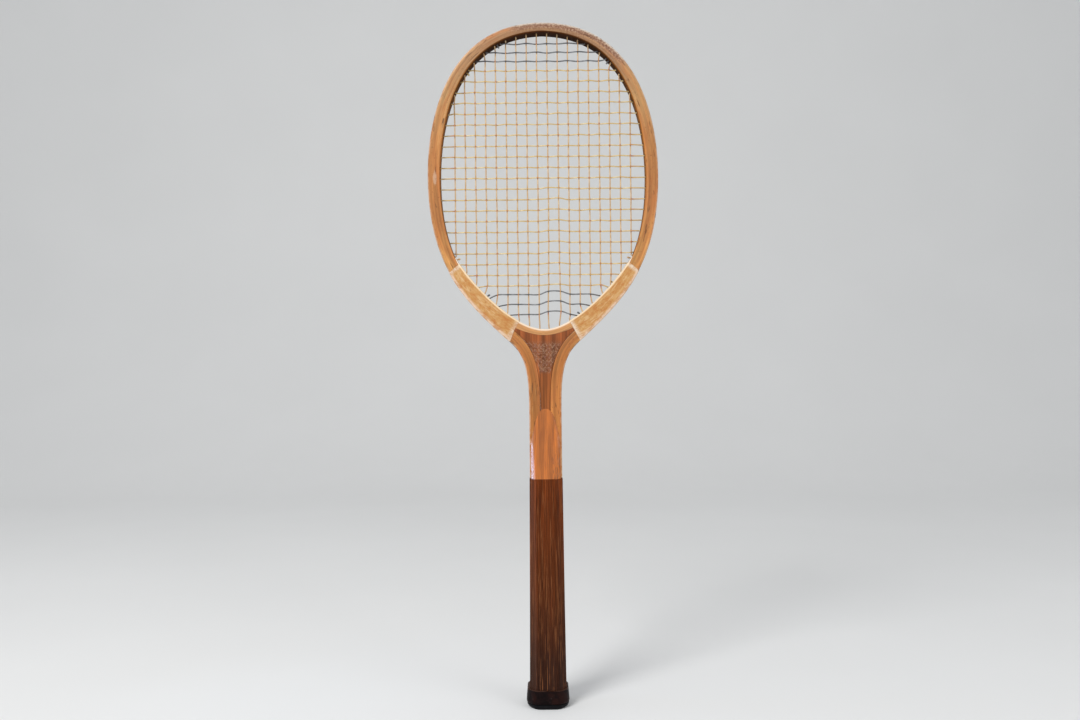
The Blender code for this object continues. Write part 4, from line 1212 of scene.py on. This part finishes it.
# The band is a strip of dark leather drawn tight round the butt's flare. Its ends lap at the back,
# where three brass tacks hold them, and its upper edge has worn uneven.
BAND_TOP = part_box("butt_leather_band")[1].z
BAND_GAP = 0.0004
BAND_BOTTOM = CAP_TOP + BAND_GAP
BAND_ROWS = 14
BAND_RAGGED, BAND_FINE_RAGGED = 0.0002, 0.00015
BAND_EDGE = 0.0003
BAND_INSIDE = 0.00008
BAND_DIP, BAND_DIP_AT, BAND_DIP_HALF = 0.0010, 0.003, 0.006
LAP_HALF = 0.0028
LAP_RISE = 0.0002
LAP_SLOPE = 0.00015
LEATHER_TONES = ((0.35, (0.003, 0.001, 0.001)), (0.65, (0.009, 0.003, 0.003)))
LEATHER_EDGE_TONE = (0.10, 0.045, 0.028)
LEATHER_SCUFF_TONE = (0.09, 0.065, 0.060)
REDDENED_TONE = (0.022, 0.006, 0.004)


def band_top(point):
    """The upper edge is ragged and dips at the middle of the front."""
    dip = BAND_DIP * math.exp(-((point.x - BAND_DIP_AT) / BAND_DIP_HALF) ** 2) if point.y < 0 else 0.0
    ragged = BAND_RAGGED * math.sin(point.x * 900)
    ragged += BAND_FINE_RAGGED * math.sin(point.x * 2100 + point.y * 700)
    return BAND_TOP - BAND_GAP - dip + ragged


def band_row(share, grown):
    """A ring round the butt, from the band's lower edge (0) to its upper edge (1)."""
    ring = []
    height = BAND_BOTTOM + (BAND_TOP - BAND_BOTTOM) * share
    for point in butt_ring(height, grip_size(height), grown):
        point.z = BAND_BOTTOM + (band_top(point) - BAND_BOTTOM) * share
        if grown > BAND_OFF:
            point.x *= butt_taper(point.z)
            if point.y > 0:
                point.y += LAP_RISE / (1 + math.exp(-(LAP_HALF - abs(point.x)) / LAP_SLOPE))
        ring.append(point)
    return ring


def leather():
    finish = Finish("dark_band_leather", 0.45, Specular_IOR_Level=0.08)
    place = finish.place()
    pebbles = finish.node("ShaderNodeTexVoronoi", place, None, 1500.0, feature="F1").outputs["Distance"]
    creases = finish.noise(place, 300.0, 4.0, 0.65)
    colour = finish.shades(creases, *LEATHER_TONES)
    edge = finish.rise(finish.parts(place)[2], BAND_TOP - 0.0016, BAND_TOP - 0.0006)
    colour = finish.mix(finish.times(edge, 0.5), colour, LEATHER_EDGE_TONE)
    scuffs = finish.rise(finish.noise(place, 130.0, 5.0, 0.7), 0.60, 0.70)
    colour = finish.mix(finish.times(scuffs, 0.4), colour, LEATHER_SCUFF_TONE)
    reddened = finish.rise(finish.noise(place, 55.0), 0.52, 0.62)
    colour = finish.mix(finish.times(reddened, 0.6), colour, REDDENED_TONE)
    finish.give("Base Color", colour)
    finish.give("Roughness", finish.rise(scuffs, 0.0, 1.0, 0.38, 0.62))
    finish.bump(finish.math("SUBTRACT", finish.times(pebbles, 0.6), creases), 0.0003, 0.6)
    return finish.material


outer_rows = [
    band_row(0.0, BUTT_OVER - BAND_EDGE), band_row(0.03, BUTT_OVER),
    *(band_row(step / BAND_ROWS, BUTT_OVER) for step in range(1, BAND_ROWS + 1)),
    band_row(1.0, BUTT_OVER - BAND_EDGE),
]
inner_rows = [band_row(share, BAND_INSIDE) for share in (1.0, 0.66, 0.33, 0.0)]
band = added("butt_band", lofted(outer_rows + inner_rows, ring=True), leather(), 50.0)
fitted(band, "butt_leather_band", "band_leather")

# The three tacks are brass, each with a low domed head and a pointed shank. They are driven in from
# behind, through the lapped ends of the leather and into the back slab.
TACK_HEAD = 0.0014
TACK_DOME = 0.0007
TACK_SHANK = 0.0005
TACK_COLLAR = 0.0001
TACK_LENGTH = 0.0050
TACK_POINT = 0.7 * TACK_LENGTH
TACK_TURNS, DOME_STEPS = 24, 6
BRASS, TARNISHED_BRASS = (0.62, 0.43, 0.17), (0.20, 0.12, 0.05)


def tack_shape(seat):
    """Half the tack's outline, spun round and turned to point into the grip from behind."""
    shape = bmesh.new()
    turns = [math.pi / 2 * step / DOME_STEPS for step in range(DOME_STEPS + 1)]
    dome = [(TACK_HEAD * math.sin(turn), TACK_DOME * math.cos(turn)) for turn in turns]
    profile = dome + [(TACK_SHANK, -TACK_COLLAR), (TACK_SHANK, -TACK_POINT), (0.0, -TACK_LENGTH)]
    line = [shape.verts.new((radius, 0.0, height)) for radius, height in profile]
    edges = [shape.edges.new(pair) for pair in zip(line, line[1:])]
    bmesh.ops.spin(
        shape, geom=line + edges, cent=(0.0, 0.0, 0.0), axis=(0.0, 0.0, 1.0),
        angle=2 * math.pi, steps=TACK_TURNS, use_merge=True,
    )
    bmesh.ops.remove_doubles(shape, verts=shape.verts, dist=MERGE_WITHIN)
    bmesh.ops.recalc_face_normals(shape, faces=shape.faces)
    bmesh.ops.rotate(shape, verts=shape.verts, matrix=Matrix.Rotation(math.radians(-90.0), 3, "X"))
    bmesh.ops.translate(shape, verts=shape.verts, vec=seat)
    return shape


def dull_brass():
    finish = Finish("dull_brass", 0.38, Metallic=1.0)
    tarnish = finish.rise(finish.noise(finish.place(), 900.0, 3.0, 0.6), 0.42, 0.62)
    finish.give("Base Color", finish.mix(tarnish, BRASS, TARNISHED_BRASS))
    finish.give("Roughness", finish.rise(tarnish, 0.0, 1.0, 0.3, 0.6))
    return finish.material


brass = dull_brass()
for number in (1, 2, 3):
    low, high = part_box(f"band_tack_{number}")
    seat = Vector((0.0, high.y - TACK_DOME, (low.z + high.z) / 2))
    fitted(added(f"brass_tack_{number}", tack_shape(seat), brass), f"band_tack_{number}", "tack_brass")

# The shoulders are bound with vellum, a thin skin wetted, glued on and drawn tight over limb and horn
# so that they can't spring apart. It has dried cream and brown, with pale ends and outer edge and small
# wrinkles; a highlight is painted along its inner edge and shade on its outside.
WRAP_START = 0.0265
WRAP_LENGTH = 0.0835
WRAP_STEPS = 70
WRAP_LIP = 0.0026
WRAP_OFF = 0.00006
WRAP_THICK = 0.00034
WRAP_MIDDLE = OPENING.length - WRAP_START - WRAP_LENGTH / 2
WRAP_THINNED = 0.06
WRAP_RAGGED, WRAP_FINE_RAGGED = 0.0007, 0.0003
WRINKLE = 0.00005
WRAP_TURN = 0.0016
VELLUM_TONES = (
    (0.38, (0.49, 0.195, 0.055)), (0.47, (0.52, 0.255, 0.082)),
    (0.56, (0.57, 0.31, 0.115)), (0.66, (0.64, 0.41, 0.195)),
)
VELLUM_STREAK_TONE = (0.74, 0.52, 0.30)
STAIN_TONE = (0.27, 0.085, 0.030)
VELLUM_END_TONE = (0.74, 0.60, 0.46)
VELLUM_INNER_HIGHLIGHT_TONE = (0.86, 0.68, 0.46)
VELLUM_OUTER_TONE = (0.74, 0.54, 0.40)


@cache
def wrap_width(mark):
    """Thickness of limb and horn together."""
    return reach(OPENING.at(mark), outward(mark), OUTER_EDGE)


@cache
def wrap_path(mark, off):
    """The skin's way round the shoulder, from the front lip of the groove by the inside to the back lip."""
    edge, across = OPENING.at(mark), outward(mark)
    outside = wrap_width(mark) + off
    front, back = -HALF_DEPTH - off, HALF_DEPTH + off
    corners = (
        ((outside, -WRAP_LIP), SHARP_EDGE), ((outside, front), EDGE_ROUND),
        ((-off, front), INNER_EDGE_ROUND), ((-off, back), INNER_EDGE_ROUND),
        ((outside, back), EDGE_ROUND), ((outside, WRAP_LIP), SHARP_EDGE),
    )
    flat = rounded(corners, 4, 6)[:-6]
    return [upright(edge + across * deep, depth) for deep, depth in flat]


def wrap_sections(side, dice):
    """Sections along the shoulder. Near each end every point strays by itself, for a ragged edge."""
    count = len(wrap_path(OPENING.length - WRAP_START, 0.0))
    phases = [dice.uniform(*PHASES) for _ in range(4)]
    sections = []
    for step in range(WRAP_STEPS + 1):
        share = step / WRAP_STEPS
        near_end = max(1 - share / WRAP_THINNED, 1 - (1 - share) / WRAP_THINNED, 0.0)
        spots = []
        for lift in (0.0, 1.0):
            for index in range(count):
                stray = WRAP_RAGGED * math.sin(index * 0.42 + phases[0 if share < 0.5 else 1])
                stray += WRAP_FINE_RAGGED * math.sin(index * 1.1 + phases[2])
                mark = OPENING.length - WRAP_START - WRAP_LENGTH * share + stray * near_end
                wrinkle = WRINKLE * math.sin(share * 46 + index * 0.35 + phases[3])
                thick = (WRAP_THICK + wrinkle) * (1 - 0.5 * near_end)
                path = wrap_path(round(mark, 5), round(WRAP_OFF + lift * thick, 6))
                spots.append(path[index])
        ring = spots[:count] + spots[:count - 1:-1]
        sections.append(ring if side > 0 else mirrored(ring))
    return sections


def vellum_skin():
    finish = Finish("dried_vellum", 0.45, Specular_IOR_Level=0.15, Coat_Weight=0.15, Coat_Roughness=0.25)
    way = finish.attribute("grain")
    along, across, depth = finish.parts(way)
    place = finish.place()
    mottle = finish.streaks(way, (130.0, 260.0, 160.0), 5.0, 0.72)
    colour = finish.shades(mottle, *VELLUM_TONES)
    streaks = finish.streaks(way, (45.0, 420.0, 200.0), 3.0, 0.65)
    colour = finish.mix(finish.rise(streaks, 0.56, 0.66, 0.0, 0.5), colour, VELLUM_STREAK_TONE)
    stains = finish.rise(finish.noise(place, 430.0, 3.0, 0.65), 0.62, 0.68)
    colour = finish.mix(finish.times(stains, 0.6), colour, STAIN_TONE)
    from_middle = finish.math("SUBTRACT", finish.math("ABSOLUTE", along), WRAP_MIDDLE)
    from_middle = finish.math("ABSOLUTE", from_middle)
    end = finish.rise(from_middle, WRAP_LENGTH / 2 - 0.0050, WRAP_LENGTH / 2 - 0.0008)
    end = finish.times(end, finish.rise(mottle, 0.40, 0.56, 0.25, 0.9))
    colour = finish.mix(end, colour, VELLUM_END_TONE)
    # Painted highlight along the inner edge, broken up by the streaks.
    uneven = finish.math("SUBTRACT", across, finish.times(streaks, 0.001))
    colour = finish.mix(finish.rise(uneven, 0.0003, 0.0012, 0.85, 0.0), colour, VELLUM_INNER_HIGHLIGHT_TONE)
    outer_edge = finish.times(
        finish.attribute("inner_wall", "Fac"), finish.rise(mottle, 0.42, 0.54, 0.25, 0.9)
    )
    colour = finish.mix(outer_edge, colour, VELLUM_OUTER_TONE)
    # Painted shade: the skin's outside, past the front face, is darkened.
    outside = finish.times(finish.rise(depth, *FACE_CORNER), finish.rise(across, 0.004, 0.006))
    outside = finish.times(outside, finish.rise(depth, HALF_DEPTH - 0.0016, HALF_DEPTH, 1.0, 0.0))
    colour = finish.mix(finish.times(outside, 0.9), colour, DIRT_AND_SHADE_TONE)
    colour = finish.mix(finish.times(finish.attribute("grime", "Fac"), 0.8), colour, DIRT_AND_SHADE_TONE)
    finish.give("Base Color", colour)
    finish.give("Roughness", finish.rise(mottle, 0.3, 0.7, 0.34, 0.52))
    finish.bump(finish.streaks(way, (420.0, 90.0, 90.0), 3.0, 0.6), 0.0004, 0.6)
    return finish.material


vellum = vellum_skin()
dice = random.Random(7)
for name, side, node in (
    ("vellum_left", -1, "shoulder_wrap_left"), ("vellum_right", 1, "shoulder_wrap_right"),
):
    wrap = added(name, lofted(wrap_sections(side, dice)), vellum)
    drilled(wrap)
    lay_grain(wrap, OPENING, lambda mark: wrap_width(round(mark, 4)) - WRAP_TURN)
    fitted(wrap, node, "vellum")

# The strings are gut, dried sheep gut twisted into long cords and drawn tight. One length makes all
# the mains and runs in the groove between its holes, and another is woven through them row by row.
WEAVE = 0.00120
MAIN_WEAVE = 0.00022
WEAVE_TURN = 0.0016
WEAVE_TURN_SHARE = 0.6
BEND_INSIDE = 0.0006
LOOP_STEP = 0.0040
BEND_PULL = 0.0009
KNOT_STEPS = (0.0012, 0.0017, 0.0022, 0.0027, 0.0033, 0.0038)
KNOT_SWELLS = (1.0, 1.35, 1.55, 1.55, 1.35, 0.8)
SPAN_STEPS = 6
GUT_SIDES = 8
FREE = 1.0
LOOSE_FROM = OUTLINE_TO_SIDE + 0.128
LOOSE_BY = 0.0005
ROW_STRAY = 0.00022
MAIN_STRAY = 0.00018
THROAT_JOG = 0.0036
LOW_ROW_JOG = 0.0013
LOW_ROWS_FROM = 14
JOG_MIDDLE = 0.0105
JOG_HALF = 0.0095
SHORT_SPAN = 0.0006
UNDER_THE_BOX = GUT_RADIUS + 0.00002
FARTHEST_OUT = cad_box[1][0] - UNDER_THE_BOX
FARTHEST_UP = cad_box[1][2] - UNDER_THE_BOX
SPREAD_FROM = 16
SPREADS = {9: -0.0015, 10: 0.0016}


def crosses(main, row):
    """Whether a row reaches as far out as this main."""
    marks = MARKS[1 if main_place(main) > 0 else -1]
    return marks["top", main] < marks["row", row] < marks["bottom", main]


class Strand:
    """A length of gut on its way. Each stop is a point, and says how thick the gut is there, how far its
    turn may reach, and how worn it is: 1 at a crossing, 2 in the groove, darkened by dirt and painted
    shade.
    """

    def __init__(self):
        self.stops = []

    def go(self, points, swell=1.0, pull=FREE, worn=0.0):
        self.stops += [(Vector(point), swell, pull, worn) for point in points]

    def loop(self, first, second):
        """From one hole to another along the groove."""
        run = second.mark - first.mark
        steps = math.ceil(abs(run) / LOOP_STEP)
        marks = [first.mark + run * index / steps for index in range(steps + 1)]
        points = [upright(groove_point(mark), first.depth) for mark in marks]
        for index, mark in enumerate(marks):
            if abs(mark) > LOOSE_FROM:
                out = -inward(abs(mark)) * LOOSE_BY * math.sqrt(math.sin(math.pi * index / steps) + 1e-9)
                points[index] += Vector((math.copysign(out.x, mark), 0.0, out.y))
        for stretch, pull in ((points[:1], BEND_PULL), (points[1:-1], FREE), (points[-1:], BEND_PULL)):
            self.go(stretch, pull=pull, worn=2.0)

    def knot(self, tie, leaving):
        """The end is tied off on the inside of its own hole."""
        stops = list(zip(KNOT_STEPS, KNOT_SWELLS))
        for distance, swell in (reversed(stops) if leaving else stops):
            self.go([tie.inside(distance)], swell)

    def smooth(self):
        """Every stop and the steps between, on one smooth curve."""
        way = []
        last = len(self.stops) - 1
        points = [point for point, _, _, _ in self.stops]
        slopes = [(points[min(i + 1, last)] - points[max(i - 1, 0)]).normalized() for i in range(last + 1)]
        for index in range(last):
            start, thick, pull, worn = self.stops[index]
            end, next_thick, next_pull, next_worn = self.stops[index + 1]
            span = (end - start).length / 3
            leaving = start + slopes[index] * min(span, pull)
            coming = end - slopes[index + 1] * min(span, next_pull)
            steps = SPAN_STEPS if span > SHORT_SPAN else 2
            spots = interpolate_bezier(start, leaving, coming, end, steps + 1)
            between = min(worn, next_worn) if max(worn, next_worn) <= 1.0 else 0.0
            for step in range(steps):
                share = step / steps
                wear = worn + (next_worn - worn) * share - between * 4 * share * (1 - share)
                spot = Vector(spots[step])
                spot.x = math.copysign(min(abs(spot.x), FARTHEST_OUT), spot.x)
                spot.z = min(spot.z, FARTHEST_UP)
                way.append((spot, thick + (next_thick - thick) * share, wear))
        way.append((points[-1], self.stops[-1][1], self.stops[-1][3]))
        return way


def jog(row, x):
    """How far a row is pushed up where the middle strings have shifted, by its height."""
    amount = THROAT_JOG if row in THROAT_SPAN else LOW_ROW_JOG if row >= LOW_ROWS_FROM else 0.0
    away = (x - JOG_MIDDLE) / JOG_HALF
    return amount * math.exp(-away ** 4)


def strays(seed, amount):
    """How far each crossing lies off its straight line."""
    dice = random.Random(seed)
    return {
        (main, row): dice.uniform(-amount, amount)
        for main in range(MAIN_COUNT) for row in range(len(ROWS))
    }


ROW_STRAYS, MAIN_STRAYS = strays(3, ROW_STRAY), strays(5, MAIN_STRAY)


def crossing(main, row, depth):
    """Where a main and a row pass each other, each a little off its straight line."""
    spread = SPREADS.get(main, 0.0) * max((row - SPREAD_FROM) / (len(ROWS) - SPREAD_FROM), 0.0) ** 2
    x = main_place(main) + MAIN_STRAYS[main, row] + spread
    return Vector((x, depth * (-1) ** (row + main), ROWS[row] + ROW_STRAYS[main, row] + jog(row, x)))


def strung(tie_name, passes):
    """A strand from its knot at the left, back and forth over the bed, to its knot at the right."""
    left_tie, right_tie = hole(-1, "tie", tie_name), hole(1, "tie", tie_name)
    strand = Strand()
    strand.knot(left_tie, leaving=True)
    last = left_tie
    for first, starts, bed, ends, second in passes:
        strand.loop(last, first)
        strand.go(starts, pull=BEND_PULL)
        strand.go(bed, worn=1.0)
        strand.go(ends, pull=BEND_PULL)
        last = second
    strand.loop(last, right_tie)
    strand.knot(right_tie, leaving=False)
    return strand


def main_passes():
    for main in range(MAIN_COUNT):
        side = 1 if main_place(main) > 0 else -1
        rows = [row for row in range(len(ROWS)) if crosses(main, row)]
        kinds = ("top", "bottom")
        if main % 2 == 0:
            rows.reverse()
            kinds = ("bottom", "top")
        first, second = (hole(side, kind, main) for kind in kinds)
        bed = [crossing(main, row, -MAIN_WEAVE) for row in rows]
        yield first, [first.inside(BEND_INSIDE)], bed, [second.inside(BEND_INSIDE)], second


def turned_round(spot, end):
    """Where a row that passes in front of its last main, near its hole, turns to the hole behind."""
    run = end - spot
    if spot.y > 0 or abs(run.x) > 4 * WEAVE_TURN:
        return []
    turn = spot + run * (WEAVE_TURN / abs(run.x))
    turn.y = spot.y * WEAVE_TURN_SHARE
    return [turn]


def row_passes(span):
    for row in span:
        side = -1 if (row - span[0]) % 2 == 0 else 1
        first, second = hole(side, "row", row), hole(-side, "row", row)
        mains = [main for main in range(MAIN_COUNT) if crosses(main, row)]
        if side > 0:
            mains.reverse()
        bed = [crossing(main, row, WEAVE) for main in mains]
        start, end = first.inside(BEND_INSIDE), second.inside(BEND_INSIDE)
        yield first, [start, *turned_round(bed[0], start)], bed, [*turned_round(bed[-1], end), end], second


def gut(name, strand, material):
    """A round tube along the strand. Each vertex keeps its turn round the tube and its way along it."""
    way = strand.smooth()
    points = [point for point, _, _ in way]
    turns = [2 * math.pi * step / GUT_SIDES for step in range(GUT_SIDES)]
    rings, labels = [], []
    side = Vector((0.0, 1.0, 0.0))
    along = 0.0
    for index, (point, thick, worn) in enumerate(way):
        ahead = (points[min(index + 1, len(points) - 1)] - points[max(index - 1, 0)]).normalized()
        side = (side - ahead * side.dot(ahead)).normalized()
        other = ahead.cross(side)
        along += (point - points[index - 1]).length if index else 0.0
        rings.append([
            point + (side * math.cos(turn) + other * math.sin(turn)) * GUT_RADIUS * thick for turn in turns
        ])
        labels += [(math.cos(turn), math.sin(turn), along, worn) for turn in turns]
    tree = KDTree(len(labels))
    for index, spot in enumerate(spot for ring in rings for spot in ring):
        tree.insert(spot, index)
    tree.balance()
    piece = added(name, lofted(rings), material, 60.0)
    found = [labels[tree.find(vertex.co)[1]] for vertex in piece.data.vertices]
    note(piece, "lay", "FLOAT_VECTOR", [label[:3] for label in found])
    note(piece, "worn", "FLOAT", [label[3] for label in found])
    return piece


TWIST_PITCH = 0.0042
GROOVE_DIRT_AND_SHADE_TONE = (0.035, 0.016, 0.010)


def twisted_gut(name, tone, worn_tone, pale):
    finish = Finish(name, 0.4, Coat_Weight=0.2, Coat_Roughness=0.22)
    across, up, along = finish.parts(finish.attribute("lay"))
    turn = finish.times(along, 2 * math.pi / TWIST_PITCH)
    twist = finish.math(
        "SUBTRACT", finish.times(up, finish.math("COSINE", turn)),
        finish.times(across, finish.math("SINE", turn)),
    )
    strands = finish.math("ABSOLUTE", twist)
    patches = finish.noise(finish.place(), 150.0, 3.0, 0.6)
    colour = finish.mix(finish.rise(patches, 0.35, 0.65), tone, pale)
    colour = finish.mix(finish.rise(strands, 0.0, 0.35, 0.3, 0.0), colour, worn_tone)
    worn = finish.attribute("worn", "Fac")
    rubbed = finish.rise(finish.times(worn, patches), 0.25, 0.55)
    colour = finish.mix(finish.times(rubbed, 0.8), colour, worn_tone)
    # Loops lying in the groove are darkened: partly dirt, partly painted shade.
    colour = finish.mix(finish.rise(worn, 1.2, 1.8, 0.0, 0.85), colour, GROOVE_DIRT_AND_SHADE_TONE)
    finish.give("Base Color", colour)
    finish.bump(finish.rise(strands, 0.0, 0.5), 0.00012, 0.7)
    return finish.material


main_gut = twisted_gut("main_gut", (0.54, 0.335, 0.150), (0.42, 0.105, 0.030), (0.66, 0.47, 0.26))
cross_gut = twisted_gut("cross_gut", (0.60, 0.415, 0.150), (0.44, 0.130, 0.030), (0.72, 0.57, 0.28))
dark_gut = twisted_gut("dark_trebling", (0.075, 0.078, 0.085), (0.03, 0.022, 0.024), (0.20, 0.21, 0.22))
fitted(gut("mains", strung("mains", main_passes()), main_gut), "main_string", "natural_gut")
for name, span, material, node, slot in (
    ("crosses", CROSS_SPAN, cross_gut, "cross_string", "natural_gut"),
    ("crown_rows", CROWN_SPAN, dark_gut, "crown_trebling", "dark_gut"),
    ("throat_rows", THROAT_SPAN, dark_gut, "throat_trebling", "dark_gut"),
):
    fitted(gut(name, strung(span, row_passes(span)), material), node, slot)

# The racket stands on a pale floor that sweeps up into the backdrop, in soft light from above left.
# The camera looks squarely at it from the front and is turned by a fraction of a degree.
FLOOR_NEAR, WALL, SWEEP = -4.0, 2.4, 1.0
FLOOR_HALF_WIDTH, WALL_TOP = 4.0, 3.5
SWEEP_STEPS = 24
FLOOR_TONES = (0.80, 0.80, 0.79), (0.84, 0.84, 0.83)
CAMERA_DISTANCE = 0.950
CAMERA_HEIGHT = 0.3475
CAMERA_ASIDE = -0.0049
CAMERA_ROLL = math.radians(0.6)
FOCAL_PIXELS, PICTURE_WIDTH, SENSOR = 939.0, 1080.0, 36.0


def sweep():
    """The floor's outline, drawn out sideways."""
    shape = bmesh.new()
    middle = Vector((0.0, WALL - SWEEP, SWEEP))
    line = [Vector((0.0, FLOOR_NEAR, 0.0))]
    for step in range(SWEEP_STEPS + 1):
        turn = math.pi / 2 * step / SWEEP_STEPS
        line.append(middle + Vector((0.0, math.sin(turn), -math.cos(turn))) * SWEEP)
    line.append(Vector((0.0, WALL, WALL_TOP)))
    verts = [shape.verts.new(point - Vector((FLOOR_HALF_WIDTH, 0.0, 0.0))) for point in line]
    edges = [shape.edges.new(pair) for pair in zip(verts, verts[1:])]
    drawn = bmesh.ops.extrude_edge_only(shape, edges=edges)["geom"]
    moved = [item for item in drawn if isinstance(item, bmesh.types.BMVert)]
    bmesh.ops.translate(shape, verts=moved, vec=(2 * FLOOR_HALF_WIDTH, 0.0, 0.0))
    return shape


def pale_floor():
    finish = Finish("pale_floor", 0.9)
    finish.give("Base Color", finish.mix(finish.noise(finish.place(), 3.0), *FLOOR_TONES))
    return finish.material


floor = added("floor", sweep(), pale_floor())


def soft_light(name, place, target, size, power, colour=(1.0, 1.0, 1.0), spread=180.0):
    lamp = bpy.data.lights.new(name, "AREA")
    lamp.shape = "DISK"
    lamp.size = size
    lamp.energy = power
    lamp.color = colour
    lamp.spread = math.radians(spread)
    holder = bpy.data.objects.new(name, lamp)
    holder.visible_camera = False
    holder.location = place
    holder.rotation_euler = (Vector(target) - Vector(place)).to_track_quat("-Z", "Y").to_euler()
    bpy.context.scene.collection.objects.link(holder)


soft_light("key_light", (-1.0, -1.3, 1.75), (0.0, 0.0, 0.42), 0.9, 30.0)
soft_light("fill_light", (1.5, -1.2, 0.9), (0.0, 0.0, 0.35), 1.2, 7.0)
soft_light("side_light", (-0.75, 0.02, 0.18), (0.0, 0.0, 0.30), 0.16, 0.18, (0.50, 0.68, 1.0), 70.0)
AIR_TONE = (0.95, 0.97, 1.0)
AIR_ON_OBJECT, AIR_SEEN = 0.55, 0.9
world = bpy.data.worlds.new("even_light")
world.use_nodes = True
air = world.node_tree
seen = air.nodes.new("ShaderNodeLightPath").outputs
shown = air.nodes.new("ShaderNodeMath")
shown.operation = "MAXIMUM"
air.links.new(seen["Is Camera Ray"], shown.inputs[0])
air.links.new(seen["Is Glossy Ray"], shown.inputs[1])
strength = air.nodes.new("ShaderNodeMapRange")
strength.inputs["To Min"].default_value = AIR_ON_OBJECT
strength.inputs["To Max"].default_value = AIR_SEEN
air.links.new(shown.outputs[0], strength.inputs["Value"])
air.links.new(strength.outputs[0], air.nodes["Background"].inputs["Strength"])
air.nodes["Background"].inputs["Color"].default_value = (*AIR_TONE, 1.0)
bpy.context.scene.world = world

lens = bpy.data.cameras.new("camera")
lens.lens = FOCAL_PIXELS * SENSOR / PICTURE_WIDTH
lens.sensor_width = SENSOR
camera = bpy.data.objects.new("camera", lens)
camera.matrix_world = (
    Matrix.Translation((CAMERA_ASIDE, -CAMERA_DISTANCE, CAMERA_HEIGHT))
    @ Matrix.Rotation(math.radians(90.0), 4, "X") @ Matrix.Rotation(-CAMERA_ROLL, 4, "Z")
)
bpy.context.scene.collection.objects.link(camera)
bpy.context.scene.camera = camera
bpy.context.scene.view_settings.view_transform = "Standard"
